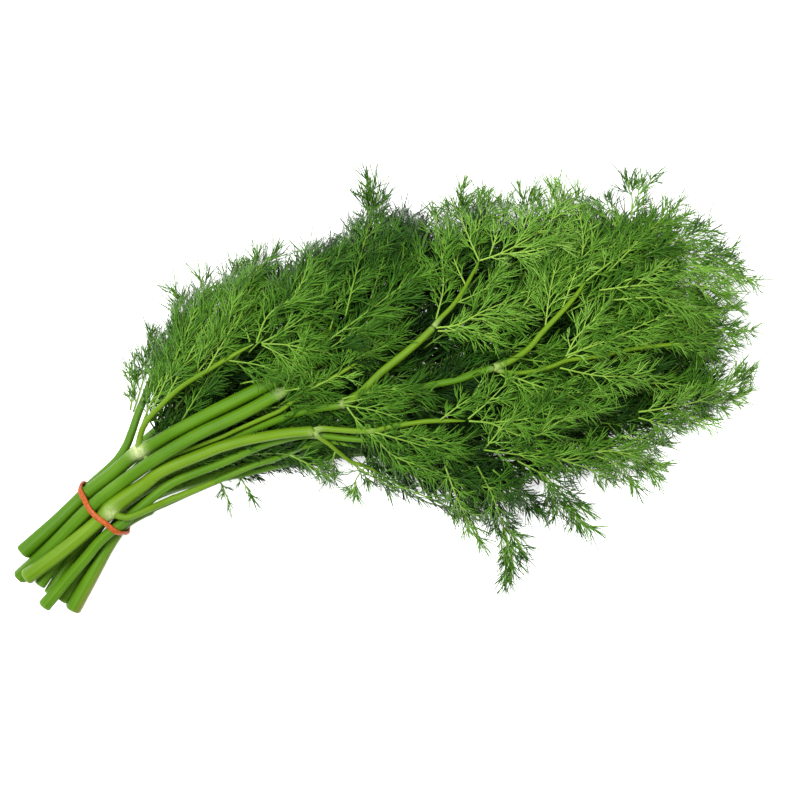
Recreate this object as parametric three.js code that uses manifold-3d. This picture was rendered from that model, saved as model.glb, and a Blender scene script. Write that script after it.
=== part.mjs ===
// A bunch of fresh dill lying on its side, its stems held by one rubber band.
// Millimetres, +Z up. +X runs from the cut ends to the leaf tips. The origin is
// under the middle of the bunch, on the surface it lies on.
import * as THREE from 'three';
import { mergeVertices } from 'three/addons/utils/BufferGeometryUtils.js';
import Module from 'manifold-3d';

// ---- driving dimensions ----
const STEM_SIDES = 8;          // facets round a stem
const STEM_FLARE = 0.4;       // how much thicker a stem is at its cut end
const FLARE_LENGTH = 22;
const STALK_SIDES = 6;         // facets round a thin stalk
const LEAF_THICKNESS = 2.4;    // a flattened spray of leaf threads
const GAP = 0.3;               // clearance between neighbouring pieces
const BAND_THICKNESS = 1.3;    // rubber band, across the stretch
const BAND_WIDTH = 2.1;        // rubber band, along the stems
const LOBE_SWEEP = 0.75;       // how far a leaflet leans towards the leaf tip, radians
const EDGE_HEIGHT = 3.5;       // height of the heap at its rim
const CROWN_POWER = 2.4;       // cross-section of the heap
const CROWN_ROUND = 0.55;

// Height of the heap of leaves along its length, and its two edges in plan.
const HEAP_X = [-166.15, -126.15, -101.15, -81.15, -61.15, -31.15, -1.15, 28.85, 58.85, 88.85, 118.85, 138.85, 158.85, 173.85];
const HEAP_TOP = [21, 21.5, 25, 30, 35, 41, 45, 45, 42, 37, 30, 23, 14, 8];
const EDGE_X = [-166.15, -141.15, -111.15, -91.15, -81.15, -71.15, -61.15, -51.15, -41.15, -31.15, -21.15, -11.15, -1.15, 8.85, 18.85, 28.85, 38.85, 48.85, 58.85, 68.85, 78.85, 88.85, 98.85, 108.85, 118.85, 128.85, 138.85, 148.85, 158.85, 168.85];
const EDGE_RIGHT = [-22.4, -19.4, -2.4, -0.4, -0.4, -1.4, -2.4, -5.4, -11.4, -20.4, -22.4, -30.4, -41.4, -50.4, -60.4, -67.4, -62.4, -64.4, -68.4, -64.4, -67.4, -67.4, -62.4, -58.4, -58.4, -57.4, -53.4, -46.4, -24.4, -14.4];
const EDGE_LEFT = [13.6, 17.6, 26.6, 43.6, 57.6, 65.6, 74.6, 76.6, 76.6, 75.6, 76.6, 75.6, 74.6, 74.6, 75.6, 78.6, 76.6, 65.6, 62.6, 62.6, 57.6, 53.6, 50.6, 46.6, 41.6, 40.6, 40.6, 32.6, 14.6, 7.6];

// Stems and leaf stalks: end radii and centre line.
const STEMS = [
  { name: 'stem_upper_left', radii: [2.9, 2.6], path: [[-158.6, 5.5, 12.3], [-145.4, 9.7, 13.2], [-125.7, 16.5, 13.8], [-112.3, 19.7, 15.5], [-99.1, 23.4, 17.6], [-92.6, 23.6, 19.8], [-86.7, 24.1, 23.4], [-80.4, 24.7, 26.3], [-60, 25.8, 30.6], [-32.8, 26.7, 35.9], [-25.9, 27.8, 35.9], [-19.4, 29.8, 34.8], [-13.2, 32.5, 33.4], [-1.1, 38.2, 29.8]] },
  { name: 'stem_centre_left', radii: [2.8, 2.5], path: [[-164.6, -3.4, 9.5], [-152, 0.8, 13.2], [-145.6, 3, 14.8], [-126.2, 10.2, 18.4], [-119.7, 12.1, 19.5], [-106.3, 15.2, 21.9], [-99.7, 16.4, 24], [-93.3, 17.4, 26.7], [-86.6, 18.3, 28], [-73.1, 19.7, 29.9], [-52.8, 20.1, 32.9], [-32.9, 21.4, 37.3], [-26.1, 20.7, 37.2]] },
  { name: 'stem_front', radii: [3, 2], path: [[-160, -4.5, 17.5], [-146.4, -1.8, 19.1], [-139.7, -0.2, 19.4], [-126.4, 3.5, 19.7], [-113.3, 7.7, 21], [-106.6, 9.2, 21.5], [-99.8, 10.5, 22.3], [-93.4, 12.1, 24.1], [-86.6, 12.5, 24.8], [-79.7, 12.3, 25.1], [-66, 11.7, 26.6], [-59.2, 10.8, 27.4], [-52.5, 9.6, 28.7], [-46, 8, 30.5], [-39.8, 6.4, 32.8], [-33.4, 4.4, 34.6], [-27, 2, 35.8]] },
  { name: 'stem_centre_right', radii: [2.3, 1.5], path: [[-156.4, -14.7, 8.6], [-139.2, -2.7, 9], [-133, 0.5, 9.4], [-126.5, 3, 10.2], [-119.8, 5, 11], [-113, 6.6, 11.6], [-99.1, 8.8, 12.2], [-92.2, 9.3, 12.6], [-85.2, 8.9, 13.1], [-78.2, 8.6, 12.6], [-71.2, 8.2, 13.1], [-64.3, 8, 14.3], [-57.5, 8.1, 16], [-50.8, 8.1, 18.1], [-37.6, 7.6, 23.2], [-30.9, 7.1, 25.3], [-17.4, 5.3, 28.5], [-3.6, 3.8, 30.6], [3.4, 3.7, 31.1], [24.4, 4.9, 31]] },
  { name: 'stem_right', radii: [2.4, 1.3], path: [[-159.2, -18.4, 13.7], [-146.9, -12.7, 15], [-128.4, -4.1, 17.8], [-122, -1.8, 18.6], [-115.3, -0.5, 19], [-95.4, 5.4, 18.9], [-88.6, 6.5, 18.9], [-81.8, 6.4, 18.7], [-74.9, 6, 19], [-68.1, 5.6, 19.8], [-61.3, 5.6, 20.9], [-54.7, 5.6, 22.8], [-48.3, 5.3, 25.2], [-42.1, 4.5, 27.9], [-35.8, 3.3, 30.2], [-29.5, 1.3, 31.9], [-17.4, -5.4, 31.2], [-11.6, -8.6, 32.6], [-5.8, -11.8, 34.5]] },
  { name: 'stem_under_right', radii: [2.3, 1.2], path: [[-153.1, -19.3, 7.5], [-141, -12.4, 7.5], [-134.5, -10.1, 7.3], [-128.2, -7.2, 7], [-122.2, -3.7, 6.8], [-117, 0.9, 7.4], [-111, 4.2, 8], [-104.1, 5.1, 8.2], [-97.1, 5.2, 8.2], [-83.4, 3.2, 8.3], [-69.5, 2, 8.6], [-62.6, 1, 8.8], [-49, -1.5, 9.9], [-35.5, -4.9, 11], [-28.9, -7.1, 11.2], [-16.1, -12.6, 11.2], [-3.9, -19.3, 10.8], [1.8, -23.3, 10.5], [7.1, -27.8, 10.2], [21.9, -42.5, 9]] },
  { name: 'stem_outer_right', radii: [2.9, 1.1], path: [[-150, -24.5, 9.5], [-133, -12.3, 12], [-127.5, -8.1, 12.3], [-121.7, -4.3, 12.6], [-115.6, -1, 13.1], [-108.8, 0, 13.7], [-101.9, 0.1, 13.5], [-74.3, -0.2, 12], [-60.5, -0.3, 12.6], [-53.6, -0.8, 13.3], [-47, -1.6, 14.6], [-41.3, -1.8, 18.2], [-36.6, -1.8, 23.1], [-31.5, -2.1, 27.5], [-24.9, -3.5, 27.8], [-19.1, -7.2, 27.3], [-13.7, -11.6, 26.8]] },
  { name: 'stem_middle', radii: [2, 1.5], path: [[-157.6, -9.7, 12.5], [-139.3, 0.6, 12.9], [-126.9, 7.2, 13.2], [-120.6, 10.1, 13.7], [-107.5, 15.1, 15.1], [-100.8, 17.2, 16], [-94.1, 18.9, 17.1], [-87.4, 19.9, 18.8], [-74.2, 20.9, 23], [-67.4, 21.8, 24.5], [-53.8, 24.3, 26.1], [-33.4, 28.9, 28], [-26.7, 31, 28.2], [-20.3, 33.8, 27.8], [-2.2, 44.3, 25]] },
  { name: 'stem_long', radii: [2.1, 1.3], path: [[-152.6, -1.7, 7.1], [-134.4, 9.3, 7.5], [-128, 12.5, 7.8], [-121.4, 14.8, 8.5], [-114.5, 16.1, 9.6], [-100.7, 16.9, 12.1], [-93.7, 16.5, 13.3], [-87, 15.8, 15.4], [-80.8, 15.2, 18.8], [-74.2, 14.5, 21.2], [-60.2, 13.1, 23.2], [-53.5, 12.9, 25.3], [-33.8, 11.8, 33.4], [-27, 10.8, 34.9], [-13.4, 7.4, 37.5], [-6.5, 8.3, 38.4], [0.4, 8.1, 39.2], [6.8, 4.9, 39.6], [13.4, 2.3, 40.2], [20.2, 0.5, 41], [27.1, -1.2, 41.4], [34, -2.6, 41.4], [41.1, -3.1, 41.3], [48.1, -4.1, 41.2]] },
  { name: 'stem_under_left', radii: [2.2, 1.3], path: [[-158, 2.6, 6.7], [-127.5, 17.7, 8.3], [-108.2, 24.5, 9.4], [-102.5, 28.2, 9.6], [-88.1, 42.8, 9.2], [-73.3, 56.9, 8.3], [-68, 61.2, 7.7], [-56.8, 68.9, 6]] },
  { name: 'stem_core', radii: [2.2, 1.4], path: [[-154.4, -8.1, 4.4], [-130.1, 5.6, 4.8], [-123.9, 8.8, 5.1], [-111.2, 14.5, 6.1], [-98.3, 19.5, 7.9], [-85.3, 24, 10.1], [-65.6, 30.2, 13.5], [-52.3, 34.2, 15.2], [-25.6, 42, 17.4], [1.1, 50.1, 18.1], [14.5, 53.7, 17.3], [34.8, 57.7, 14]] },
  { name: 'stem_base_right', radii: [2, 1.4], path: [[-149.3, -11.7, 2.6], [-131.8, -0.4, 3.1], [-125.8, 3.1, 3.3], [-119.6, 6.1, 3.7], [-113, 8.3, 4.4], [-106.3, 9.9, 5.2], [-99.5, 10.8, 6.1], [-92.6, 11.1, 6.9], [-65.1, 10.2, 10.4], [-37.7, 11, 14.2], [-30.8, 10.6, 15], [-17.2, 8.6, 16.6], [3.1, 4.1, 18.6], [23.4, -0.4, 19.4], [36.8, -3.6, 19.4], [50.4, -6.5, 19], [64, -8.8, 18], [84.6, -11.7, 16]] },
  { name: 'stem_base_left', radii: [2, 1.3], path: [[-154.3, 0.8, 2.6], [-135.3, 9.6, 3], [-122.7, 15.4, 3.6], [-103.6, 23.8, 5], [-90.6, 28.7, 6], [-70.5, 34.2, 7.2], [-36.6, 42, 8.6], [-16.1, 45.9, 9], [-2.3, 47.5, 8.9], [11.6, 48.7, 8.6], [25.5, 49.4, 8.2], [39.4, 49.6, 7.6], [67.2, 48.7, 6]] },
  { name: 'stem_base_outer', radii: [1.9, 1.3], path: [[-143.8, -14.7, 2.6], [-126.6, -2.6, 2.8], [-120.5, 0.8, 3], [-113.9, 3.1, 3.3], [-107, 4.2, 3.7], [-100.1, 4.4, 4.2], [-93.1, 4.1, 4.3], [-86.1, 3.2, 4.4], [-65.6, -1.3, 4.5], [-38.1, -6.9, 5.6], [-24.6, -10.7, 6.2], [-4.8, -17.7, 7.1], [8, -23.4, 7.5], [14.2, -26.8, 7.6], [25.8, -34.6, 7.5], [42.6, -47.3, 7]] },
  { name: 'stalk_left_leaf', radii: [1.25, 0.85], path: [[-96, 25.3, 20], [-92.2, 30.5, 22.3], [-87, 33.9, 25.1], [-81, 36.1, 27.7], [-74.8, 38.3, 29.7], [-68.4, 40, 31.4], [-61.8, 40.9, 33.2], [-48.5, 42.3, 35.9], [-34.9, 43.3, 37.8]] },
  { name: 'stalk_thin_left', radii: [1, 0.8], path: [[-95, 19.9, 20], [-89.9, 17.9, 23.7], [-83.2, 16.7, 24.1], [-76.3, 16, 24.6], [-62.5, 15.2, 26.5], [-49.2, 15.2, 30.3], [-36.1, 15.1, 35.1], [-23.2, 17.9, 39.5], [-9.7, 18.6, 42.5], [4, 20.6, 43.7]] },
  { name: 'stalk_upper_leaf', radii: [1.6, 1.4], path: [[-12.8, 7.4, 37.2], [-7, 7.6, 41.4], [-0.7, 9.7, 43.4], [5.8, 12.2, 43.7], [19.4, 15.9, 43.6], [26.1, 17.9, 43.3], [32.7, 20.3, 42.8]] },
  { name: 'stalk_upper_leaf_tip', radii: [1, 0.8], path: [[35.1, 21.8, 42.4], [42.2, 24.7, 41.2], [48.6, 28.4, 39.1], [60.1, 37.3, 33.7]] },
  { name: 'stalk_right_upper', radii: [1.3, 0.9], path: [[50.2, -4.2, 41], [57.4, -3.9, 40.7], [64.2, -2.2, 39.8], [70.6, 0.9, 38.8], [83.6, 6.2, 36.3], [89.9, 9.3, 34.8], [95.9, 12.7, 32.9]] },
  { name: 'stalk_right_lower', radii: [0.9, 0.8], path: [[49.4, -6, 41.1], [55.4, -9.5, 41], [61.9, -11.6, 40.1], [68.7, -12.7, 39], [75.5, -13, 37.9], [88.7, -16.8, 35.7], [101.8, -19.6, 32.3], [108.3, -21.4, 30.6], [127.1, -27.9, 24.6]] },
  { name: 'stalk_front_leaf', radii: [1.2, 0.9], path: [[-24.9, 2, 35.4], [-18.3, -1.3, 36.2], [-11.9, -4.6, 37.4], [-5.3, -7.4, 39.1], [1.7, -8.6, 41], [8.7, -10.5, 41.8], [15.7, -12.6, 42.2], [29.2, -18.5, 42.1]] },
  { name: 'stalk_hanging_leaf', radii: [0.9, 0.8], path: [[-27, 0.3, 35.4], [-24.1, -5.3, 32.4], [-21.8, -10.5, 28.4], [-18.9, -15.7, 24.9], [-13.8, -20.1, 24.3], [-10.6, -25.2, 20.9]] },
];

// Leaf sprays: flat, lobed blades draped over the heap. level is the share of the
// heap's height at which a blade lies: 1 on top, 0 flat on the surface below.
// Blades of one name grow from one joint and are one piece.
const LEAVES = [
  { name: 'leaf_left_outer', level: 0.62, halfWidth: 8, lobes: 6, spine: [[-104.5, 26.6], [-90.5, 46.1], [-78.2, 61.2], [-72.7, 71.6]] },
  { name: 'leaf_left_inner', level: 0.86, halfWidth: 10, lobes: 7, spine: [[-92.6, 31.4], [-73.0, 49.3], [-55.3, 67.3], [-60.0, 83.3]] },
  { name: 'leaf_left_upper', level: 0.9, halfWidth: 12, lobes: 7, spine: [[-77.5, 38.0], [-57.2, 53.1], [-38.6, 67.2], [-29.9, 79.0]] },
  { name: 'leaf_left_crown', level: 1, halfWidth: 11, lobes: 7, spine: [[-32.0, 44.5], [-24.1, 51.0], [-12.6, 56.9], [1.6, 71.9]] },
  { name: 'leaf_left_crown', level: 1, halfWidth: 8, lobes: 5, spine: [[-31.5, 40.8], [-19.4, 32.7], [-5.0, 28.0]] },
  { name: 'leaf_top_tall', level: 1, halfWidth: 7.5, lobes: 7, spine: [[2.2, 37.7], [16.3, 56.4], [29.1, 75.4], [35.6, 94.6]] },
  { name: 'leaf_top_left', level: 0.8, halfWidth: 10, lobes: 6, spine: [[-16.2, 41.2], [-1.7, 54.8], [12.3, 69.8]] },
  { name: 'leaf_centre_left', level: 0.96, halfWidth: 10, lobes: 7, spine: [[-9.0, 32.0], [10.6, 36.3], [31.6, 40.9], [45.7, 43.2]] },
  { name: 'leaf_thin_left', level: 1, halfWidth: 7, lobes: 5, spine: [[-20.8, 17.9], [-9.7, 18.5], [4.1, 20.5], [21.0, 22.0]] },
  { name: 'leaf_upper_crown', level: 1, halfWidth: 8, lobes: 6, spine: [[60.5, 38.4], [60.4, 45.4], [65.3, 63.6], [71.0, 74.3]] },
  { name: 'leaf_upper_crown', level: 1, halfWidth: 11, lobes: 7, spine: [[61.1, 37.7], [69.2, 38.1], [84.9, 39.7], [109.1, 57.3]] },
  { name: 'leaf_upper_left', level: 1, halfWidth: 9, lobes: 8, spine: [[34.5, 22.4], [41.9, 32.2], [46.3, 42.8], [50.9, 56.2], [55.8, 71.0]] },
  { name: 'leaf_upper_right', level: 1, halfWidth: 8, lobes: 6, spine: [[34.6, 19.8], [41.4, 17.7], [52.7, 18.8], [69.8, 20.0]] },
  { name: 'leaf_upper_right', level: 1, halfWidth: 7, lobes: 5, spine: [[34.1, 18.7], [46.0, 11.8], [58.8, 0.6]] },
  { name: 'leaf_long_base', level: 1, halfWidth: 8, lobes: 6, spine: [[-12.0, 5.8], [1.6, -2.3], [21.9, -9.7]] },
  { name: 'leaf_long_base', level: 1, halfWidth: 7, lobes: 5, spine: [[-12.2, 5.5], [-7.1, -5.4], [1.6, -16.7]] },
  { name: 'leaf_front_crown', level: 1, halfWidth: 8, lobes: 5, spine: [[30.2, -18.1], [41.7, -18.5], [52.5, -13.4]] },
  { name: 'leaf_front_right', level: 1, halfWidth: 9, lobes: 8, spine: [[29.9, -19.7], [40.1, -27.3], [49.9, -34.7], [64.1, -37.2], [85.1, -38.8]] },
  { name: 'leaf_front_lower', level: 1, halfWidth: 9, lobes: 6, spine: [[-2.8, -17.8], [5.1, -27.5], [17.3, -38.2]] },
  { name: 'leaf_front_hanging', level: 1, halfWidth: 7, lobes: 6, spine: [[-10.0, -25.8], [-3.7, -34.6], [8.2, -47.3], [12.8, -59.4]] },
  { name: 'leaf_low_left', level: 1, halfWidth: 6, lobes: 6, spine: [[14.2, -33.2], [13.8, -45.9], [14.5, -59.7], [15.8, -75.3]] },
  { name: 'leaf_low_middle', level: 1, halfWidth: 7, lobes: 8, spine: [[26.1, -36.7], [27.1, -48.8], [26.5, -67.7], [12.7, -94.5]] },
  { name: 'leaf_low_right', level: 1, halfWidth: 9, lobes: 7, spine: [[41.6, -42.5], [49.1, -52.7], [56.0, -68.1], [62.8, -86.7]] },
  { name: 'leaf_low_end', level: 1, halfWidth: 11, lobes: 8, spine: [[48.2, -38.8], [61.3, -50.1], [80.9, -57.8], [100.8, -75.2]] },
  { name: 'leaf_tip_low', level: 1, halfWidth: 12, lobes: 8, spine: [[94.9, -44.0], [119.9, -50.3], [136.0, -48.5], [152.0, -47.7]] },
  { name: 'leaf_tip_middle', level: 1, halfWidth: 10, lobes: 8, spine: [[104.1, -21.9], [126.4, -23.7], [158.5, -35.1]] },
  { name: 'leaf_tip_upper', level: 1, halfWidth: 11, lobes: 9, spine: [[96.7, 11.0], [118.3, -0.9], [138.8, -7.3], [165.3, -19.8]] },
  { name: 'leaf_side_upper', level: 1, halfWidth: 8, lobes: 7, spine: [[113.8, 13.4], [132.9, 11.6], [163.3, -0.2]] },
  { name: 'leaf_side_top', level: 0.84, halfWidth: 8, lobes: 7, spine: [[97.3, 10.7], [115.3, 15.9], [132.6, 21.4], [152.9, 27.0]] },
  { name: 'leaf_crest_right', level: 1, halfWidth: 9, lobes: 7, spine: [[100.6, 19.0], [118.6, 27.0], [133.3, 36.1], [149.4, 39.9]] },
  { name: 'leaf_crest_left', level: 0.86, halfWidth: 9, lobes: 7, spine: [[81.1, 4.9], [91.7, 15.3], [105.4, 27.4], [110.2, 41.9]] },
  { name: 'leaf_inner_right', level: 1, halfWidth: 9, lobes: 6, spine: [[51.8, -10.1], [67.9, -23.3], [89.7, -32.1]] },
  { name: 'leaf_under_left', level: 0.62, halfWidth: 15, lobes: 7, spine: [[-63.7, 36.3], [-27.7, 46.8], [11.8, 56.1]] },
  { name: 'leaf_under_middle', level: 0.62, halfWidth: 16, lobes: 8, spine: [[-17.8, 9.2], [24.4, 14.6], [63.0, 21.9]] },
  { name: 'leaf_under_right', level: 0.62, halfWidth: 16, lobes: 8, spine: [[14.7, -17.1], [53.1, -20.1], [96.3, -23.8]] },
  { name: 'leaf_under_crest', level: 0.62, halfWidth: 14, lobes: 8, spine: [[49.8, 12.2], [88.9, 19.5], [134.1, 27.3]] },
  { name: 'leaf_base_left', level: 0, halfWidth: 20, lobes: 8, spine: [[-82.2, 21.7], [-45.6, 42.2], [-9.0, 62.6]] },
  { name: 'leaf_base_middle', level: 0, halfWidth: 20, lobes: 8, spine: [[-40.1, 3.0], [2.5, 16.2], [42.9, 34.9]] },
  { name: 'leaf_base_crest', level: 0, halfWidth: 20, lobes: 8, spine: [[8.8, -0.4], [57.0, 14.8], [103.4, 26.3]] },
  { name: 'leaf_base_low', level: 0, halfWidth: 17, lobes: 8, spine: [[-4.8, -31.1], [30.6, -34.0], [74.8, -48.2]] },
  { name: 'leaf_base_right', level: 0, halfWidth: 19, lobes: 8, spine: [[72.7, -22.0], [111.0, -18.4], [147.5, -20.9]] },
];

// Centre line of the rubber band, a closed loop.
const BAND_LOOP = [[-117.48, -3.95, 19.63], [-116.89, -4.26, 17.39], [-116.3, -4.58, 15.15], [-115.74, -4.8, 12.9], [-115.59, -4.02, 10.71], [-115.54, -3.03, 8.6], [-115.49, -2.04, 6.48], [-115.44, -1.05, 4.36], [-115.39, -0.06, 2.24], [-115.67, 1.5, 0.61], [-116.48, 3.66, 0.41], [-117.35, 5.83, 0.48], [-118.23, 8, 0.54], [-119.1, 10.17, 0.61], [-119.97, 12.34, 0.67], [-120.84, 14.51, 0.73], [-121.73, 16.66, 0.9], [-122.64, 18.23, 2.3], [-123.5, 19.46, 4.09], [-124.36, 20.69, 5.89], [-125.16, 21.68, 7.82], [-125.51, 21.36, 10.09], [-125.76, 20.82, 12.36], [-126.02, 20.28, 14.62], [-125.99, 19.14, 16.62], [-125.6, 17.37, 18.1], [-125.21, 15.6, 19.58], [-124.81, 13.83, 21.05], [-124.33, 11.94, 22.32], [-123.57, 9.78, 22.77], [-122.8, 7.61, 23.18], [-122.03, 5.44, 23.59], [-121.13, 3.32, 23.33], [-120.19, 1.26, 22.74], [-119.25, -0.8, 22.15], [-118.31, -2.8, 21.43]];

const COLOURS = { stem: 0x8cb43a, stalk: 0x9cc544, leaf: 0x3f7a24, leafLow: 0x2c5a1b, band: 0xcf5f2a };

const wasm = await Module();
wasm.setup();

function table(xs, ys, x) {
  if (x <= xs[0]) return ys[0];
  for (let i = 1; i < xs.length; i++) {
    if (x <= xs[i]) return ys[i - 1] + (ys[i] - ys[i - 1]) * (x - xs[i - 1]) / (xs[i] - xs[i - 1]);
  }
  return ys[ys.length - 1];
}

function heapHeight(x, y) {
  const top = table(HEAP_X, HEAP_TOP, x);
  const right = table(EDGE_X, EDGE_RIGHT, x);
  const left = table(EDGE_X, EDGE_LEFT, x);
  const v = Math.min(1, Math.abs((y - (left + right) / 2) / ((left - right) / 2)));
  return EDGE_HEIGHT + (top - EDGE_HEIGHT) * Math.pow(1 - Math.pow(v, CROWN_POWER), CROWN_ROUND);
}

function toManifold(positions, index) {
  let g = new THREE.BufferGeometry();
  g.setAttribute('position', new THREE.BufferAttribute(new Float32Array(positions), 3));
  g.setIndex(index);
  g = mergeVertices(g, 1e-3);
  return new wasm.Manifold(new wasm.Mesh({
    numProp: 3,
    vertProperties: new Float32Array(g.attributes.position.array),
    triVerts: new Uint32Array(g.index.array),
  }));
}

// A tube of changing radius along a centre line, with flat cut ends.
function tube(path, r0, r1, sides, grow = 0, flare = 0) {
  const pts = path.map((p) => new THREE.Vector3(...p));
  const n = pts.length;
  const pos = [], idx = [];
  let total = 0;
  const dist = [0];
  for (let i = 1; i < n; i++) { total += pts[i].distanceTo(pts[i - 1]); dist.push(total); }
  for (let i = 0; i < n; i++) {
    const t = new THREE.Vector3();
    if (i > 0) t.add(pts[i].clone().sub(pts[i - 1]).normalize());
    if (i < n - 1) t.add(pts[i + 1].clone().sub(pts[i]).normalize());
    t.normalize();
    const side = new THREE.Vector3(0, 0, 1).cross(t).normalize();
    const up = t.clone().cross(side);
    const r = r0 + (r1 - r0) * dist[i] / total + flare * Math.exp(-dist[i] / FLARE_LENGTH) + grow;
    const c = pts[i].clone();
    if (grow > 0 && i === 0) c.addScaledVector(t, -grow);
    if (grow > 0 && i === n - 1) c.addScaledVector(t, grow);
    for (let k = 0; k < sides; k++) {
      const a = 2 * Math.PI * (k + 0.5) / sides;
      const q = c.clone().addScaledVector(side, r * Math.cos(a)).addScaledVector(up, r * Math.sin(a));
      pos.push(q.x, q.y, q.z);
    }
  }
  for (let i = 0; i < n - 1; i++) for (let k = 0; k < sides; k++) {
    const a = i * sides + k, b = i * sides + (k + 1) % sides;
    idx.push(a, b, b + sides, a, b + sides, a + sides);
  }
  const last = (n - 1) * sides;
  for (let k = 1; k < sides - 1; k++) {
    idx.push(0, k + 1, k);
    idx.push(last, last + k, last + k + 1);
  }
  return toManifold(pos, idx);
}

// The rubber band: a rounded strip round the bundle.
function bandLoop(grow = 0) {
  const pts = BAND_LOOP.map((p) => new THREE.Vector3(...p));
  const n = pts.length;
  const c = pts.reduce((s, p) => s.add(p), new THREE.Vector3()).divideScalar(n);
  const normal = new THREE.Vector3();
  for (let i = 0; i < n; i++) normal.add(pts[i].clone().sub(c).cross(pts[(i + 1) % n].clone().sub(c)));
  normal.normalize();
  const w = BAND_WIDTH / 2 + grow, h = BAND_THICKNESS / 2 + grow;
  const section = [[-w, -h * 0.5], [-w * 0.6, -h], [w * 0.6, -h], [w, -h * 0.5], [w, h * 0.5], [w * 0.6, h], [-w * 0.6, h], [-w, h * 0.5]];
  const m = section.length, pos = [], idx = [];
  for (let i = 0; i < n; i++) {
    const t = pts[(i + 1) % n].clone().sub(pts[(i + n - 1) % n]).normalize();
    const out = t.clone().cross(normal).normalize();
    for (const [a, b] of section) {
      const q = pts[i].clone().addScaledVector(normal, a).addScaledVector(out, b);
      pos.push(q.x, q.y, Math.max(q.z, 0));
    }
  }
  for (let i = 0; i < n; i++) for (let k = 0; k < m; k++) {
    const a = i * m + k, b = i * m + (k + 1) % m, j = ((i + 1) % n) * m;
    const c2 = j + k, d = j + (k + 1) % m;
    idx.push(a, b, d, a, d, c2);
  }
  return toManifold(pos, idx);
}

const SPIN = 1;              // a blade's faces run anticlockwise in plan
const MIN_SPREAD = 0.3;      // smallest doubled face area in plan, mm2

// One leaf blade: a spine with leaflets along both sides, draped over the heap.
function blade({ level, halfWidth, lobes, spine }, grow = 0) {
  const curve = new THREE.CatmullRomCurve3(spine.map((p) => new THREE.Vector3(p[0], p[1], 0)), false, 'centripetal');
  const n = 2 * lobes + 1;
  const rows = [];
  const step = curve.getLength() / (n - 1);
  for (let i = 0; i < n; i++) {
    const s = i / (n - 1);
    const p = curve.getPointAt(s), t = curve.getTangentAt(s);
    const side = new THREE.Vector3(-t.y, t.x, 0);
    const full = halfWidth * Math.min(1, 0.45 + 1.5 * s) * Math.pow(Math.max(0.02, 1 - Math.pow(s, 2.2)), 0.6);
    const tip = i % 2 === 1;
    const notch = Math.max(Math.min(0.45 * full, 0.75 * step / Math.tan(LOBE_SWEEP)), 1.2);
    const w = (i === n - 1 ? 0.8 : tip ? full : notch) + 1.6 * grow;
    const lean = tip ? LOBE_SWEEP : 0;
    const c = p.clone();
    if (i === 0) c.addScaledVector(t, -grow);
    if (i === n - 1) c.addScaledVector(t, grow);
    rows.push([1, 0, -1].map((k) => c.clone()
      .addScaledVector(side, k * w * Math.cos(lean))
      .addScaledVector(t, Math.abs(k) * w * Math.sin(lean))));
  }
  // Where the spine bends, the leaflets on the inner side are shortened until none crosses its neighbour.
  const turn = (a, b, c) => (b.x - a.x) * (c.y - a.y) - (b.y - a.y) * (c.x - a.x);
  for (let pass = 0, folded = true; folded && pass < 60; pass++) {
    folded = false;
    for (let i = 0; i < n - 1; i++) for (const k of [0, 2]) {
      const [a, b, c, d] = k === 0 ? [rows[i][0], rows[i][1], rows[i + 1][1], rows[i + 1][0]] : [rows[i][1], rows[i][2], rows[i + 1][2], rows[i + 1][1]];
      if (Math.min(SPIN * turn(a, b, c), SPIN * turn(a, c, d)) > MIN_SPREAD) continue;
      folded = true;
      for (const r of [rows[i], rows[i + 1]]) {
        const reach = r[k].distanceTo(r[1]);
        if (reach > 1.2) r[k].lerp(r[1], 0.1);
      }
    }
  }
  const pos = [], idx = [];
  for (const row of rows) for (const q of row) {
    const top = Math.max(level * heapHeight(q.x, q.y), LEAF_THICKNESS) + grow;
    pos.push(q.x, q.y, top, q.x, q.y, Math.max(top - LEAF_THICKNESS - 2 * grow, grow > 0 ? -1 : 0));
  }
  const at = (i, k, b) => 2 * (3 * i + k) + b;
  const quad = (a, b, c, d) => idx.push(a, b, c, a, c, d);
  for (let i = 0; i < n - 1; i++) {
    for (let k = 0; k < 2; k++) {
      quad(at(i, k, 0), at(i, k + 1, 0), at(i + 1, k + 1, 0), at(i + 1, k, 0));
      quad(at(i, k, 1), at(i + 1, k, 1), at(i + 1, k + 1, 1), at(i, k + 1, 1));
    }
    quad(at(i, 0, 0), at(i + 1, 0, 0), at(i + 1, 0, 1), at(i, 0, 1));
    quad(at(i, 2, 0), at(i, 2, 1), at(i + 1, 2, 1), at(i + 1, 2, 0));
  }
  for (let k = 0; k < 2; k++) {
    quad(at(0, k, 0), at(0, k, 1), at(0, k + 1, 1), at(0, k + 1, 0));
    quad(at(n - 1, k, 0), at(n - 1, k + 1, 0), at(n - 1, k + 1, 1), at(n - 1, k, 1));
  }
  return toManifold(pos, idx);
}

const placed = [];    // grown copies of what is already there, to cut the next piece
const group = new THREE.Group();

function overlaps(a, b) {
  const p = a.boundingBox(), q = b.boundingBox();
  for (let k = 0; k < 3; k++) if (p.max[k] < q.min[k] || q.max[k] < p.min[k]) return false;
  return true;
}

// The finished mesh of a join or cut, as a solid with no history.
function settle(solid) {
  const m = solid.getMesh();
  const out = new wasm.Manifold(new wasm.Mesh({ numProp: 3, vertProperties: m.vertProperties, triVerts: m.triVerts }));
  solid.delete();
  return out;
}

// Cuts can leave crumbs beside the main body.
function largest(solid) {
  return solid.decompose().sort((a, b) => b.volume() - a.volume())[0];
}

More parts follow.
